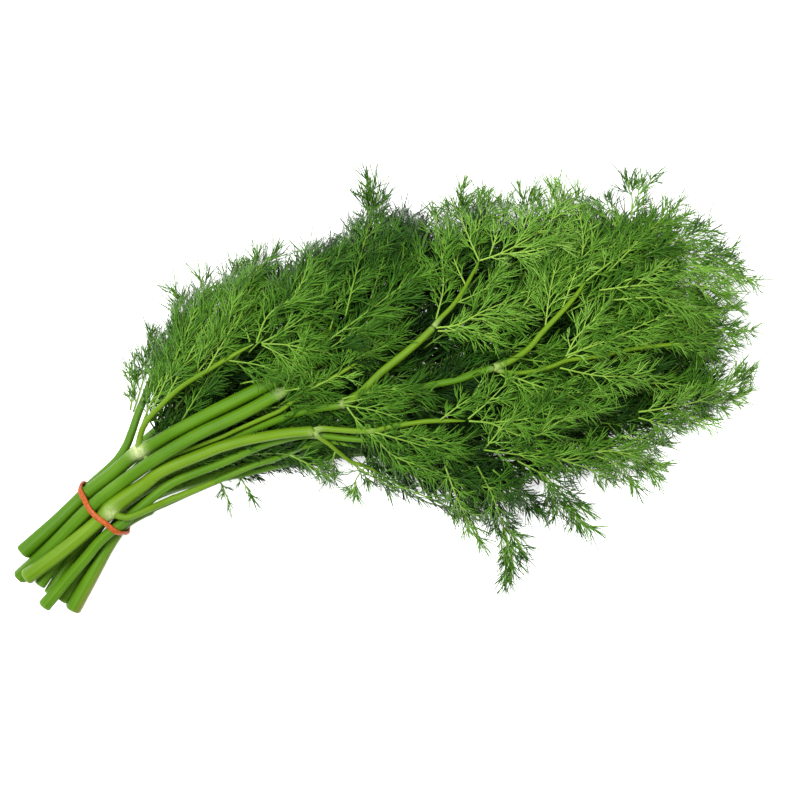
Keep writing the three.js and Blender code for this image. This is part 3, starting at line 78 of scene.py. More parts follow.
# node, half width, tone 0 dark to 1 bright (the low tones of the deep sprays are painted shade), depth below the heap's
# surface, share of its height, line in plan
SPRAYS = [
    ('leaf_left_outer', 5.5, 0.5, 1, 0.62, [(-95.5, 40.5), (-89.0, 47.7), (-78.4, 61.3), (-73.9, 71.3)]),
    ('leaf_left_outer', 4, 0.55, 1, 0.62, [(-96.3, 41.8), (-89.6, 52.6), (-84.7, 63.7)]),
    ('leaf_left_outer', 4, 0.5, 1, 0.7, [(-88.6, 42.0), (-82.3, 46.9), (-74.0, 59.0), (-72.8, 67.6)]),
    ('leaf_left_inner', 8, 0.42, 1, 0.86, [(-92.8, 31.4), (-73.2, 49.4), (-59.2, 63.1), (-60.1, 83.4)]),
    ('leaf_left_inner', 7, 0.42, 1, 0.86, [(-84.7, 39.0), (-68.8, 51.8), (-61.2, 64.1), (-59.8, 76.0)]),
    ('leaf_left_upper', 9, 0.5, 1, 0.95, [(-77.5, 38.0), (-57.1, 53.0), (-38.6, 67.2), (-29.9, 79.1)]),
    ('leaf_left_upper', 9, 0.45, 1, 0.95, [(-64.9, 40.3), (-44.3, 51.6), (-28.4, 64.7), (-18.4, 80.4)]),
    ('leaf_left_upper', 8, 0.5, 1, 0.95, [(-85.8, 35.1), (-70.8, 48.2), (-52.1, 66.6), (-44.3, 81.9)]),
    ('leaf_left_upper', 8, 0.5, 1, 1, [(-56.6, 41.3), (-46.8, 48.3), (-36.1, 55.3), (-24.6, 59.9)]),
    ('leaf_left_crown', 8, 0.55, 0.3, 1, [(-33.9, 43.2), (-27.1, 50.2), (-20.7, 53.0), (-13.4, 53.7), (-4.7, 61.7), (1.2, 72.2)]),
    ('leaf_left_crown', 7, 0.55, 0.3, 1, [(-32.1, 42.4), (-21.3, 43.2), (-8.4, 46.1), (2.0, 52.5)]),
    ('leaf_left_crown', 6, 0.6, 0.2, 1, [(-31.9, 41.9), (-22.6, 37.2), (-14.7, 31.5), (-5.7, 26.6)]),
    ('leaf_left_crown', 5, 0.6, 0.2, 1, [(-32.0, 41.5), (-28.1, 36.7), (-23.7, 30.8), (-16.8, 23.0)]),
    ('leaf_left_crown', 8, 0.45, 1.5, 1, [(-36.1, 44.7), (-34.5, 57.3), (-26.9, 68.8), (-11.0, 77.6)]),
    ('leaf_left_crown', 7, 0.5, 1.2, 1, [(-48.1, 42.3), (-35.5, 34.0), (-27.2, 25.1)]),
    ('leaf_top_tall', 6, 0.42, 0.5, 1, [(2.2, 37.8), (16.3, 56.5), (23.2, 65.5), (29.2, 75.5), (33.1, 83.9), (34.9, 94.1)]),
    ('leaf_top_tall', 3, 0.3, 0.5, 1, [(25.8, 41.6), (33.2, 51.3), (36.6, 57.1), (41.0, 58.1)]),
    ('leaf_top_tall', 6, 0.42, 1.5, 1, [(10.6, 36.3), (22.6, 49.9), (31.2, 59.7), (38.1, 66.3)]),
    ('leaf_top_tall', 5, 0.42, 1.5, 0.97, [(23.3, 65.7), (32.0, 74.8), (37.8, 86.1)]),
    ('leaf_top_left', 8, 0.42, 1.5, 0.95, [(-16.0, 40.9), (-1.6, 54.4), (12.6, 70.5)]),
    ('leaf_top_left', 8, 0.42, 1.5, 0.95, [(-22.3, 41.6), (-9.8, 55.9), (0.4, 73.0)]),
    ('leaf_top_left', 7, 0.42, 1.5, 0.95, [(-5.1, 36.0), (8.3, 52.2), (20.7, 75.1)]),
    ('leaf_top_left', 7, 0.45, 1.5, 1, [(-7.1, 41.2), (8.5, 47.4), (21.0, 54.3)]),
    ('leaf_centre_left', 8, 0.5, 0.8, 1, [(-8.9, 32.0), (10.6, 36.2), (31.5, 40.8), (43.1, 41.5)]),
    ('leaf_centre_left', 8, 0.45, 1.2, 1, [(-17.4, 27.6), (1.3, 30.8), (20.4, 33.2)]),
    ('leaf_centre_left', 7, 0.45, 1.5, 1, [(-10.7, 23.3), (6.9, 24.0), (24.9, 25.9)]),
    ('leaf_thin_left', 5, 0.6, 0.2, 1, [(-24.9, 17.6), (-9.7, 18.5), (4.1, 20.5), (20.7, 21.3)]),
    ('leaf_thin_left', 5, 0.6, 0.5, 1, [(-31.0, 22.5), (-26.0, 26.7), (-20.1, 34.0), (-12.0, 39.8)]),
    ('leaf_thin_left', 4, 0.6, 0.5, 1, [(-30.7, 21.1), (-20.9, 18.8), (-9.8, 17.3)]),
    ('leaf_upper_crown', 6, 0.6, 0.3, 1, [(60.0, 37.3), (60.4, 45.5), (62.3, 58.2), (70.6, 73.6)]),
    ('leaf_upper_crown', 8, 0.6, 0.3, 1, [(60.0, 37.3), (68.5, 36.6), (84.2, 38.2), (97.7, 42.9), (109.2, 57.4)]),
    ('leaf_upper_crown', 6, 0.55, 0.8, 1, [(64.9, 37.4), (74.2, 47.9), (82.3, 60.7)]),
    ('leaf_upper_crown', 7, 0.55, 0.8, 1, [(76.0, 37.1), (87.3, 47.3), (96.1, 57.8)]),
    ('leaf_upper_crown', 7, 0.6, 0.8, 1, [(68.5, 36.7), (82.6, 32.4), (100.1, 31.2)]),
    ('leaf_upper_crown', 6, 0.55, 1, 1, [(60.3, 42.3), (68.2, 53.1), (76.3, 65.7)]),
    ('leaf_upper_left', 6, 0.55, 0.3, 1, [(34.7, 22.8), (41.9, 32.2), (46.4, 42.8), (50.9, 56.2), (55.4, 70.3)]),
    ('leaf_upper_left', 6, 0.5, 1.2, 1, [(39.2, 29.1), (37.7, 43.0), (39.6, 54.9)]),
    ('leaf_upper_left', 5, 0.55, 1, 1, [(46.4, 42.9), (54.4, 52.2), (58.0, 63.8)]),
    ('leaf_upper_right', 6, 0.65, 0.3, 1, [(33.2, 19.6), (41.2, 17.3), (52.4, 18.1), (65.4, 18.0), (76.0, 19.9)]),
    ('leaf_upper_right', 5, 0.65, 0.3, 1, [(33.4, 18.2), (46.2, 12.1), (56.2, 2.6)]),
    ('leaf_upper_right', 6, 0.6, 0.6, 1, [(43.6, 25.4), (55.0, 25.7), (68.3, 27.8)]),
    ('leaf_upper_right', 5, 0.6, 0.6, 1, [(51.0, 30.1), (51.2, 40.8), (53.8, 50.9)]),
    ('leaf_upper_right', 6, 0.6, 0.8, 1, [(46.8, 17.1), (57.6, 12.3), (68.9, 8.2)]),
    ('leaf_long_base', 6, 0.6, 0.2, 1, [(-12.1, 7.6), (5.0, 3.4), (24.8, -5.0)]),
    ('leaf_long_base', 5, 0.6, 0.2, 1, [(-11.3, 5.5), (-9.4, -2.7), (-5.5, -11.3)]),
    ('leaf_long_base', 6, 0.6, 0.3, 1, [(-11.7, 6.5), (-0.2, -1.6), (9.2, -11.3)]),
    ('leaf_long_base', 4, 0.6, 0.3, 1, [(-11.8, 9.2), (0.1, 6.9), (14.5, 2.6)]),
    ('leaf_front_crown', 6, 0.72, 0, 1, [(30.2, -18.1), (40.6, -15.0), (50.6, -10.9)]),
    ('leaf_front_crown', 5, 0.65, 0.2, 1, [(20.0, -14.0), (29.5, -11.8), (38.8, -10.3)]),
    ('leaf_front_right', 6, 0.55, 0.3, 1, [(30.2, -19.0), (37.2, -23.0), (49.9, -34.8), (64.3, -33.8), (85.3, -38.4)]),
    ('leaf_front_right', 5, 0.6, 0.3, 1, [(31.1, -31.9), (37.8, -28.5), (44.7, -24.6)]),
    ('leaf_front_right', 6, 0.5, 0.6, 1, [(31.1, -32.0), (47.1, -41.9), (57.8, -47.6)]),
    ('leaf_front_right', 6, 0.5, 0.6, 1, [(37.2, -23.0), (52.8, -27.8), (69.6, -29.7)]),
    ('leaf_front_lower', 6, 0.6, 0.2, 1, [(-5.3, -8.0), (5.4, -17.0), (12.5, -23.2), (19.8, -32.2)]),
    ('leaf_front_lower', 6, 0.55, 0.4, 1, [(-6.5, -7.8), (-3.1, -18.6), (5.1, -27.5), (13.7, -36.6)]),
    ('leaf_front_lower', 5, 0.55, 0.4, 1, [(4.1, -11.2), (13.2, -19.6), (26.8, -27.8)]),
    ('leaf_front_hanging', 5, 0.55, 0.5, 1, [(-10.6, -25.1), (-3.7, -34.6), (8.2, -47.4), (12.8, -58.5)]),
    ('leaf_front_hanging', 3.5, 0.5, 0.5, 1, [(-14.5, -19.2), (-21.6, -23.5), (-25.4, -29.1)]),
    ('leaf_front_hanging', 3.5, 0.45, 0.5, 1, [(-23.4, -8.9), (-27.5, -13.5), (-29.9, -18.8)]),
    ('leaf_front_hanging', 2, 0.4, 0.5, 1, [(-73.6, 0.1), (-73.7, -4.9), (-73.8, -9.4)]),
    ('leaf_front_hanging', 2.2, 0.45, 0.5, 1, [(-65.5, -0.3), (-64.8, -6.6), (-64.2, -12.3)]),
    ('leaf_front_hanging', 4.5, 0.5, 0.5, 1, [(-40.7, -2.7), (-35.2, -9.7), (-30.4, -18.0)]),
    ('leaf_front_hanging', 4.5, 0.5, 0.5, 1, [(-19.8, -15.1), (-12.8, -26.8), (-6.8, -35.6)]),
    ('leaf_low_left', 4.5, 0.68, 0.5, 1, [(14.5, -31.6), (13.8, -46.0), (14.5, -59.7), (15.9, -75.0)]),
    ('leaf_low_middle', 5.5, 0.4, 0.5, 1, [(26.1, -36.7), (27.1, -48.9), (26.7, -60.7), (25.8, -73.4), (12.9, -94.2)]),
    ('leaf_low_middle', 4.5, 0.4, 0.5, 1, [(26.7, -60.7), (29.7, -73.8), (29.6, -86.5)]),
    ('leaf_low_middle', 4, 0.4, 0.5, 1, [(26.0, -69.9), (24.4, -80.6), (18.3, -91.2)]),
    ('leaf_low_right', 6, 0.45, 0.5, 1, [(41.9, -41.8), (49.4, -52.0), (56.1, -68.1), (56.8, -76.7), (62.7, -86.2)]),
    ('leaf_low_right', 6, 0.35, 1.5, 1, [(31.3, -40.9), (39.7, -58.1), (45.4, -70.8)]),
    ('leaf_low_right', 5, 0.45, 0.5, 1, [(49.4, -52.0), (51.1, -64.6), (48.1, -74.7)]),
    ('leaf_low_end', 7, 0.5, 0.5, 1, [(48.3, -38.9), (60.9, -49.9), (72.1, -51.5), (81.6, -55.9), (101.0, -73.0)]),
    ('leaf_low_end', 6, 0.5, 0.5, 1, [(51.3, -42.0), (60.6, -50.7), (69.8, -59.3), (76.6, -67.2)]),
    ('leaf_low_end', 5, 0.5, 0.5, 1, [(71.7, -52.7), (81.7, -64.4), (83.8, -77.7)]),
    ('leaf_low_end', 5, 0.5, 0.5, 1, [(78.0, -53.3), (91.4, -66.9), (94.1, -78.2)]),
    ('leaf_low_end', 5, 0.5, 0.8, 1, [(81.7, -55.9), (94.6, -60.2), (106.8, -63.3)]),
    ('leaf_tip_low', 7, 0.68, 0.3, 1, [(95.0, -44.1), (105.6, -47.1), (119.9, -50.3), (130.1, -49.9), (136.0, -48.5), (143.7, -42.5)]),
    ('leaf_tip_low', 4.5, 0.65, 0.5, 1, [(123.2, -50.5), (138.1, -51.2), (151.4, -48.3)]),
    ('leaf_tip_low', 4.5, 0.65, 0.5, 1, [(119.8, -50.8), (134.9, -56.6), (146.9, -56.4)]),
    ('leaf_tip_low', 5.5, 0.6, 0.5, 1, [(107.3, -49.6), (120.0, -58.2), (127.6, -61.6)]),
    ('leaf_tip_low', 5, 0.5, 0.5, 1, [(94.1, -46.3), (102.4, -52.8), (113.1, -60.2)]),
    ('leaf_tip_low', 4, 0.5, 0.5, 1, [(83.7, -49.6), (93.2, -55.8), (104.4, -61.3)]),
    ('leaf_tip_middle', 6, 0.6, 0.3, 1, [(88.4, -16.8), (97.5, -18.6), (110.5, -22.0), (127.0, -27.9), (145.7, -37.1)]),
    ('leaf_tip_middle', 7, 0.55, 0.6, 1, [(75.5, -11.1), (95.3, -12.4), (124.1, -13.5), (149.1, -23.5)]),
    ('leaf_tip_middle', 6, 0.55, 0.8, 1, [(105.4, -19.4), (127.0, -22.6), (157.6, -35.5)]),
    ('leaf_tip_middle', 4.5, 0.3, 1, 1, [(109.9, -47.6), (117.0, -45.1), (122.0, -40.2), (128.0, -29.1)]),
    ('leaf_tip_middle', 3.5, 0.3, 1, 1, [(117.0, -45.1), (124.6, -42.2), (132.0, -41.9)]),
    ('leaf_tip_middle', 5.5, 0.65, 0.4, 1, [(75.7, -11.6), (82.4, -6.4), (92.8, -2.2), (102.0, 2.1)]),
    ('leaf_tip_middle', 4.5, 0.65, 0.4, 1, [(75.9, -12.1), (89.0, -11.4), (99.2, -12.8)]),
    ('leaf_tip_upper', 8, 0.75, 0.3, 1, [(110.0, 6.6), (132.4, 3.8), (142.4, -0.3), (153.3, -8.3), (165.6, -16.5)]),
    ('leaf_tip_upper', 7, 0.62, 0.6, 1, [(101.9, 1.8), (121.6, -5.8), (135.1, -15.4), (154.4, -22.5)]),
    ('leaf_tip_upper', 7, 0.7, 0.6, 1, [(99.5, 7.2), (119.3, 0.9), (142.3, -9.6), (153.0, -19.7)]),
    ('leaf_side_upper', 7, 0.5, 0.6, 1, [(120.5, 16.5), (134.0, 13.5), (148.7, 11.7), (158.2, 12.9)]),
    ('leaf_side_upper', 6, 0.5, 0.6, 1, [(128.8, 10.7), (150.1, 2.0), (163.5, -0.2)]),
    ('leaf_side_upper', 5, 0.5, 0.8, 1, [(139.9, 4.3), (150.7, -1.8), (158.5, -7.2)]),
    ('leaf_side_top', 7, 0.5, 0.6, 1, [(104.0, 11.9), (114.6, 15.8), (129.3, 21.5), (139.8, 24.4), (150.1, 27.4)]),
    ('leaf_side_top', 6, 0.55, 0.5, 1, [(95.8, 12.7), (108.6, 15.7), (126.1, 19.1), (150.6, 20.3)]),
    ('leaf_crest_right', 6, 0.45, 0.6, 1, [(104.5, 17.5), (122.4, 26.8), (131.6, 36.0), (141.2, 39.9), (148.5, 40.8)]),
    ('leaf_crest_right', 6, 0.45, 0.8, 1, [(116.3, 22.4), (118.7, 33.4), (121.6, 44.1)]),
    ('leaf_crest_right', 5, 0.45, 0.8, 1, [(126.1, 30.0), (131.0, 38.0), (133.2, 44.4)]),
    ('leaf_crest_right', 6, 0.45, 1, 1, [(101.5, 18.8), (107.3, 30.0), (110.4, 41.7)]),
    ('leaf_crest_left', 7, 0.5, 0.8, 1, [(80.6, 4.9), (91.2, 15.2), (100.4, 24.7), (108.4, 43.1), (114.2, 52.0)]),
    ('leaf_crest_left', 7, 0.5, 1, 1, [(72.4, 1.5), (81.0, 15.2), (91.9, 28.4)]),
    ('leaf_crest_left', 7, 0.5, 1, 1, [(66.6, 12.7), (80.9, 19.7), (97.0, 20.7)]),
    ('leaf_inner_right', 7, 0.5, 1, 1, [(52.2, -9.4), (68.0, -23.3), (89.8, -32.1)]),
    ('leaf_inner_right', 7, 0.5, 1.2, 1, [(48.9, -7.1), (56.9, -18.4), (64.8, -30.6)]),
    ('leaf_inner_right', 7, 0.5, 1, 1, [(71.8, -14.6), (85.3, -24.0), (106.3, -33.3)]),
    ('leaf_inner_right', 7, 0.5, 1.2, 1, [(38.4, -11.4), (49.4, -20.7), (57.3, -32.8)]),
    # sprays deep in the heap, given near-black tones: painted shade of the leaves above them
    ('leaf_under_left', 6, 0.08, 13, 0.8, [(-80.9, 21.4), (-64.9, 21.1), (-48.1, 22.7), (-33.1, 20.5)]),
    ('leaf_under_left', 6, 0.08, 13, 0.8, [(-76.1, 12.4), (-60.2, 12.2), (-44.1, 11.9), (-27.2, 8.9)]),
    ('leaf_base_middle', 5, 0.06, 3, 0.35, [(-68.3, 5.6), (-53.4, 3.1), (-36.8, -1.0), (-21.1, -6.6)]),
    ('leaf_base_middle', 5, 0.06, 3, 0.35, [(-64.6, 8.6), (-49.1, 7.2), (-32.1, 4.2), (-16.1, -0.6)]),
    ('leaf_under_middle', 5, 0.1, 12, 0.7, [(-60.8, 6.9), (-44.2, 4.6), (-27.7, 0.5), (-11.6, -3.9)]),
    ('leaf_under_middle', 5, 0.12, 9, 0.7, [(-56.3, 1.7), (-41.5, -1.6), (-25.7, -7.2), (-10.6, -13.8)]),
    ('leaf_base_left', 6, 0.05, 3, 0.4, [(-86.9, 24.0), (-71.1, 28.4), (-56.3, 30.8), (-42.4, 31.4)]),
    ('leaf_under_left', 6, 0.1, 13, 0.85, [(-85.8, 30.4), (-73.8, 36.3), (-60.4, 40.2), (-46.3, 41.1)]),
    ('leaf_base_left', 6, 0.05, 3, 0.4, [(-81.0, 16.9), (-67.5, 16.3), (-53.4, 17.3), (-39.6, 17.5)]),
    ('leaf_low_left', 4, 0.3, 6, 0.8, [(-46.7, 0.9), (-32.6, -3.4), (-19.9, -10.0)]),
    ('leaf_low_left', 4, 0.35, 4, 0.8, [(-39.7, 0.7), (-26.3, -4.7), (-14.2, -12.4)]),
    ('leaf_under_middle', 7, 0.12, 6, 0.85, [(45.5, 34.3), (58.9, 40.3), (70.4, 45.4)]),
    ('leaf_under_middle', 7, 0.12, 6, 0.85, [(52.7, 38.4), (65.9, 41.8), (78.7, 43.7)]),
    ('leaf_under_right', 7, 0.15, 6, 0.85, [(51.9, 41.5), (63.0, 48.8), (71.7, 57.0)]),
    ('leaf_base_middle', 7, 0.05, 2, 0.45, [(-74.3, 4.8), (-57.8, 2.9), (-40.1, -0.8)]),
    ('leaf_base_middle', 7, 0.05, 2, 0.45, [(-65.7, 3.7), (-49.7, 0.6), (-32.5, -4.1)]),
    ('leaf_base_middle', 6, 0.05, 2, 0.55, [(-71.3, 1.5), (-56.3, -1.5), (-39.7, -6.0)]),
    ('leaf_base_left', 6, 0.06, 3, 0.5, [(-91.9, 27.2), (-79.5, 32.1), (-67.3, 35.7)]),
]

BAND = [(-117.48, -3.95, 19.63), (-116.89, -4.26, 17.39), (-116.30, -4.58, 15.15), (-115.74, -4.80, 12.90), (-115.59, -4.02, 10.71), (-115.54, -3.03, 8.60), (-115.49, -2.04, 6.48), (-115.44, -1.05, 4.36), (-115.39, -0.06, 2.24), (-115.67, 1.50, 0.61), (-116.48, 3.66, 0.41), (-117.35, 5.83, 0.48), (-118.23, 8.00, 0.54), (-119.10, 10.17, 0.61), (-119.97, 12.34, 0.67), (-120.84, 14.51, 0.73), (-121.73, 16.66, 0.90), (-122.64, 18.23, 2.30), (-123.50, 19.46, 4.09), (-124.36, 20.69, 5.89), (-125.16, 21.68, 7.82), (-125.51, 21.36, 10.09), (-125.76, 20.82, 12.36), (-126.02, 20.28, 14.62), (-125.99, 19.14, 16.62), (-125.60, 17.37, 18.10), (-125.21, 15.60, 19.58), (-124.81, 13.83, 21.05), (-124.33, 11.94, 22.32), (-123.57, 9.78, 22.77), (-122.80, 7.61, 23.18), (-122.03, 5.44, 23.59), (-121.13, 3.32, 23.33), (-120.19, 1.26, 22.74), (-119.25, -0.80, 22.15), (-118.31, -2.80, 21.43)]


def heap(x, y):
    top = np.interp(x, HEAP_X, HEAP_TOP)
    lo = np.interp(x, EDGE_X, EDGE_RIGHT)
    up = np.interp(x, EDGE_X, EDGE_LEFT)
    v = np.clip(np.abs((y - (lo + up) / 2) / ((up - lo) / 2)), 0, 1)
    return 3.5 + (top - 3.5) * (1 - v ** 2.4) ** 0.55


def inside(x, y, margin):
    """How far inside the heap's outline a point lies, over the margin: >0 is inside."""
    lo = np.interp(x, EDGE_X, EDGE_RIGHT)
    up = np.interp(x, EDGE_X, EDGE_LEFT)
    keep = margin * np.interp(x, (-20, 30), (0.8, 1.0))
    return np.minimum(np.minimum(y - lo - keep, up - y - margin), 148 - x - 1.4 * margin)


def smooth_line(P, step):
    """Centripetal Catmull-Rom through P, resampled to even steps."""
    P = np.asarray(P, float)
    if len(P) == 2:
        P = np.vstack([P[0], P.mean(0), P[1]])
    Q = np.vstack([2 * P[0] - P[1], P, 2 * P[-1] - P[-2]])
    t = [0.0]
    for a, b in zip(Q[:-1], Q[1:]):
        t.append(t[-1] + max(np.linalg.norm(b - a), 1e-6) ** 0.5)
    out = []
    for i in range(1, len(Q) - 2):
        p0, p1, p2, p3 = Q[i - 1:i + 3]
        t0, t1, t2, t3 = t[i - 1:i + 3]
        s = np.linspace(t1, t2, 16, endpoint=(i == len(Q) - 3))[:, None]
        a1 = (t1 - s) / (t1 - t0) * p0 + (s - t0) / (t1 - t0) * p1
        a2 = (t2 - s) / (t2 - t1) * p1 + (s - t1) / (t2 - t1) * p2
        a3 = (t3 - s) / (t3 - t2) * p2 + (s - t2) / (t3 - t2) * p3
        b1 = (t2 - s) / (t2 - t0) * a1 + (s - t0) / (t2 - t0) * a2
        b2 = (t3 - s) / (t3 - t1) * a2 + (s - t1) / (t3 - t1) * a3
        out.append((t2 - s) / (t2 - t1) * b1 + (s - t1) / (t2 - t1) * b2)
    C = np.vstack(out)
    d = np.r_[0, np.cumsum(np.linalg.norm(np.diff(C, axis=0), axis=1))]
    n = max(3, int(round(d[-1] / step)) + 1)
    s = np.linspace(0, d[-1], n)
    return np.stack([np.interp(s, d, C[:, k]) for k in range(C.shape[1])], 1), d[-1]


# ---------------------------------------------------------------- meshes

def frames(C):
    T = np.empty_like(C)
    T[:, 1:-1] = C[:, 2:] - C[:, :-2]
    T[:, 0] = C[:, 1] - C[:, 0]
    T[:, -1] = C[:, -1] - C[:, -2]
    T /= np.maximum(np.linalg.norm(T, axis=2, keepdims=True), 1e-9)
    side = np.cross(np.array([0.0, 0.0, 1.0]), T)
    n = np.linalg.norm(side, axis=2, keepdims=True)
    side = np.where(n > 1e-3, side / np.maximum(n, 1e-9), np.array([1.0, 0.0, 0.0]))
    return T, side, np.cross(T, side)


def tube_block(C, r, sides, tone, v, turn=0.0):
    """n tubes of R rings. C (n,R,3), r (n,R), tone (n,), v (n,R) -> vertices, quads, end caps and their UVs."""
    n, R = r.shape
    T, side, up = frames(C)
    a = 2 * np.pi * np.arange(sides) / sides + turn
    V = C[:, :, None] + r[:, :, None, None] * (np.cos(a)[:, None] * side[:, :, None] + np.sin(a)[:, None] * up[:, :, None])
    V = V.reshape(-1, 3)
    i, k = np.meshgrid(np.arange(R - 1), np.arange(sides), indexing="ij")
    k2 = (k + 1) % sides
    q = np.stack([i * sides + k, i * sides + k2, (i + 1) * sides + k2, (i + 1) * sides + k], -1).reshape(-1, 4)
    off = (np.arange(n) * R * sides)[:, None, None]
    Q = (q[None] + off).reshape(-1, 4)
    ku = np.stack([k, k + 1, k + 1, k], -1).reshape(-1, 4)
    iv = np.stack([i, i, i + 1, i + 1], -1).reshape(-1, 4)
    du = 0.02 / sides
    U = tone[:, None, None] * 0.94 + 0.01 + ku[None] * du
    W = v[:, iv]
    QUV = np.stack([U, W], -1).reshape(-1, 4, 2)
    ring = np.arange(sides)
    base = ring[::-1][None] + off[:, :, 0]
    tip = (R - 1) * sides + ring[None] + off[:, :, 0]
    caps = np.concatenate([base, tip])
    cu = np.cos(a) * 0.008
    cv = np.sin(a) * 0.008
    bu = np.stack([tone[:, None] * 0.94 + 0.02 + cu[::-1][None], v[:, :1] + cv[::-1][None] + 0.01], -1)
    tu = np.stack([tone[:, None] * 0.94 + 0.02 + cu[None], v[:, -1:] + cv[None] - 0.01], -1)
    return V, Q, QUV, caps, np.concatenate([bu, tu])


def build_mesh(name, blocks, attrs=None):
    vs, loops, starts, totals, uvs = [], [], [], [], []
    vo = lo = 0
    for V, Q, QUV, caps, CUV in blocks:
        vs.append(V)
        for F, FU in ((Q, QUV), (caps, CUV)):
            if F is None or not len(F):
                continue
            m, s = F.shape
            loops.append((F + vo).ravel())
            uvs.append(np.clip(FU, 0.001, 0.999).reshape(-1, 2))
            starts.append(lo + np.arange(m) * s)
            totals.append(np.full(m, s))
            lo += m * s
        vo += len(V)
    V = np.concatenate(vs).astype(np.float32) * MM
    L = np.concatenate(loops).astype(np.int32)
    S = np.concatenate(starts).astype(np.int32)
    N = np.concatenate(totals).astype(np.int32)
    U = np.concatenate(uvs).astype(np.float32)
    me = bpy.data.meshes.new(name)
    me.vertices.add(len(V))
    me.vertices.foreach_set("co", V.ravel())
    me.loops.add(len(L))
    me.loops.foreach_set("vertex_index", L)
    me.polygons.add(len(S))
    me.polygons.foreach_set("loop_start", S)
    me.polygons.foreach_set("loop_total", N)
    me.polygons.foreach_set("use_smooth", np.ones(len(S), bool))
    uv = me.uv_layers.new(name="OFBake")
    uv.data.foreach_set("uv", U.ravel())
    for key, val in (attrs or {}).items():
        at = me.attributes.new(key, "FLOAT", "POINT")
        at.data.foreach_set("value", np.asarray(val, np.float32))
    me.update(calc_edges=True)
    me.validate(clean_customdata=False)
    ob = bpy.data.objects.new(name, me)
    bpy.context.scene.collection.objects.link(ob)
    return ob


# ---------------------------------------------------------------- materials

def new_material(name):
    m = bpy.data.materials.new(name)
    m.use_nodes = True
    nt = m.node_tree
    nt.nodes.clear()
    out = nt.nodes.new("ShaderNodeOutputMaterial")
    bs = nt.nodes.new("ShaderNodeBsdfPrincipled")
    nt.links.new(bs.outputs[0], out.inputs[0])
    return m, nt, bs


def ramp(nt, stops, fac=None, mode="LINEAR"):
    n = nt.nodes.new("ShaderNodeValToRGB")
    n.color_ramp.interpolation = mode
    while len(n.color_ramp.elements) < len(stops):
        n.color_ramp.elements.new(0.5)
    for e, (p, c) in zip(n.color_ramp.elements, stops):
        e.position = p
        e.color = (*c, 1.0) if len(c) == 3 else c
    if fac is not None:
        nt.links.new(fac, n.inputs[0])
    return n.outputs[0]


def mix(nt, a, b, fac, blend="MIX"):
    n = nt.nodes.new("ShaderNodeMix")
    n.data_type = "RGBA"
    n.blend_type = blend
    for sock, val in ((n.inputs[0], fac), (n.inputs[6], a), (n.inputs[7], b)):
        if hasattr(val, "default_value") or hasattr(val, "is_linked"):
            nt.links.new(val, sock)
        else:
            sock.default_value = val if isinstance(val, float) else (*val, 1.0)
    return n.outputs[2]


def math_node(nt, op, a, b=None, clamp=False):
    n = nt.nodes.new("ShaderNodeMath")
    n.operation = op
    n.use_clamp = clamp
    for sock, val in ((n.inputs[0], a), (n.inputs[1], b)):
        if val is None:
            continue
        if hasattr(val, "is_linked"):
            nt.links.new(val, sock)
        else:
            sock.default_value = val
    return n.outputs[0]


def leaf_material():
    m, nt, bs = new_material("dill_leaf")
    uv = nt.nodes.new("ShaderNodeUVMap")
    uv.uv_map = "OFBake"
    sep = nt.nodes.new("ShaderNodeSeparateXYZ")
    nt.links.new(uv.outputs[0], sep.inputs[0])
    tone, along = sep.outputs[0], sep.outputs[1]
    # the tone from the UV map picks the leaf colour; its dark end is painted shade for the deep sprays
    blade = ramp(nt, LEAF_TONES, tone)
    rachis = ramp(nt, RACHIS_TONES, tone)
    f = ramp(nt, [(0.0, (0, 0, 0)), (0.35, (0.35,) * 3), (0.62, (1, 1, 1)), (1.0, (1, 1, 1))], along)
    base = mix(nt, rachis, blade, f)
    # paler, slightly dry thread ends
    tip = ramp(nt, [(0.0, (0, 0, 0)), (0.9, (0, 0, 0)), (1.0, (0.12,) * 3)], along)
    col = mix(nt, base, (0.20, 0.26, 0.06), tip)
    nt.links.new(col, bs.inputs["Base Color"])
    bs.inputs["Roughness"].default_value = 0.45
    bs.inputs["Specular IOR Level"].default_value = 0.16
    return m


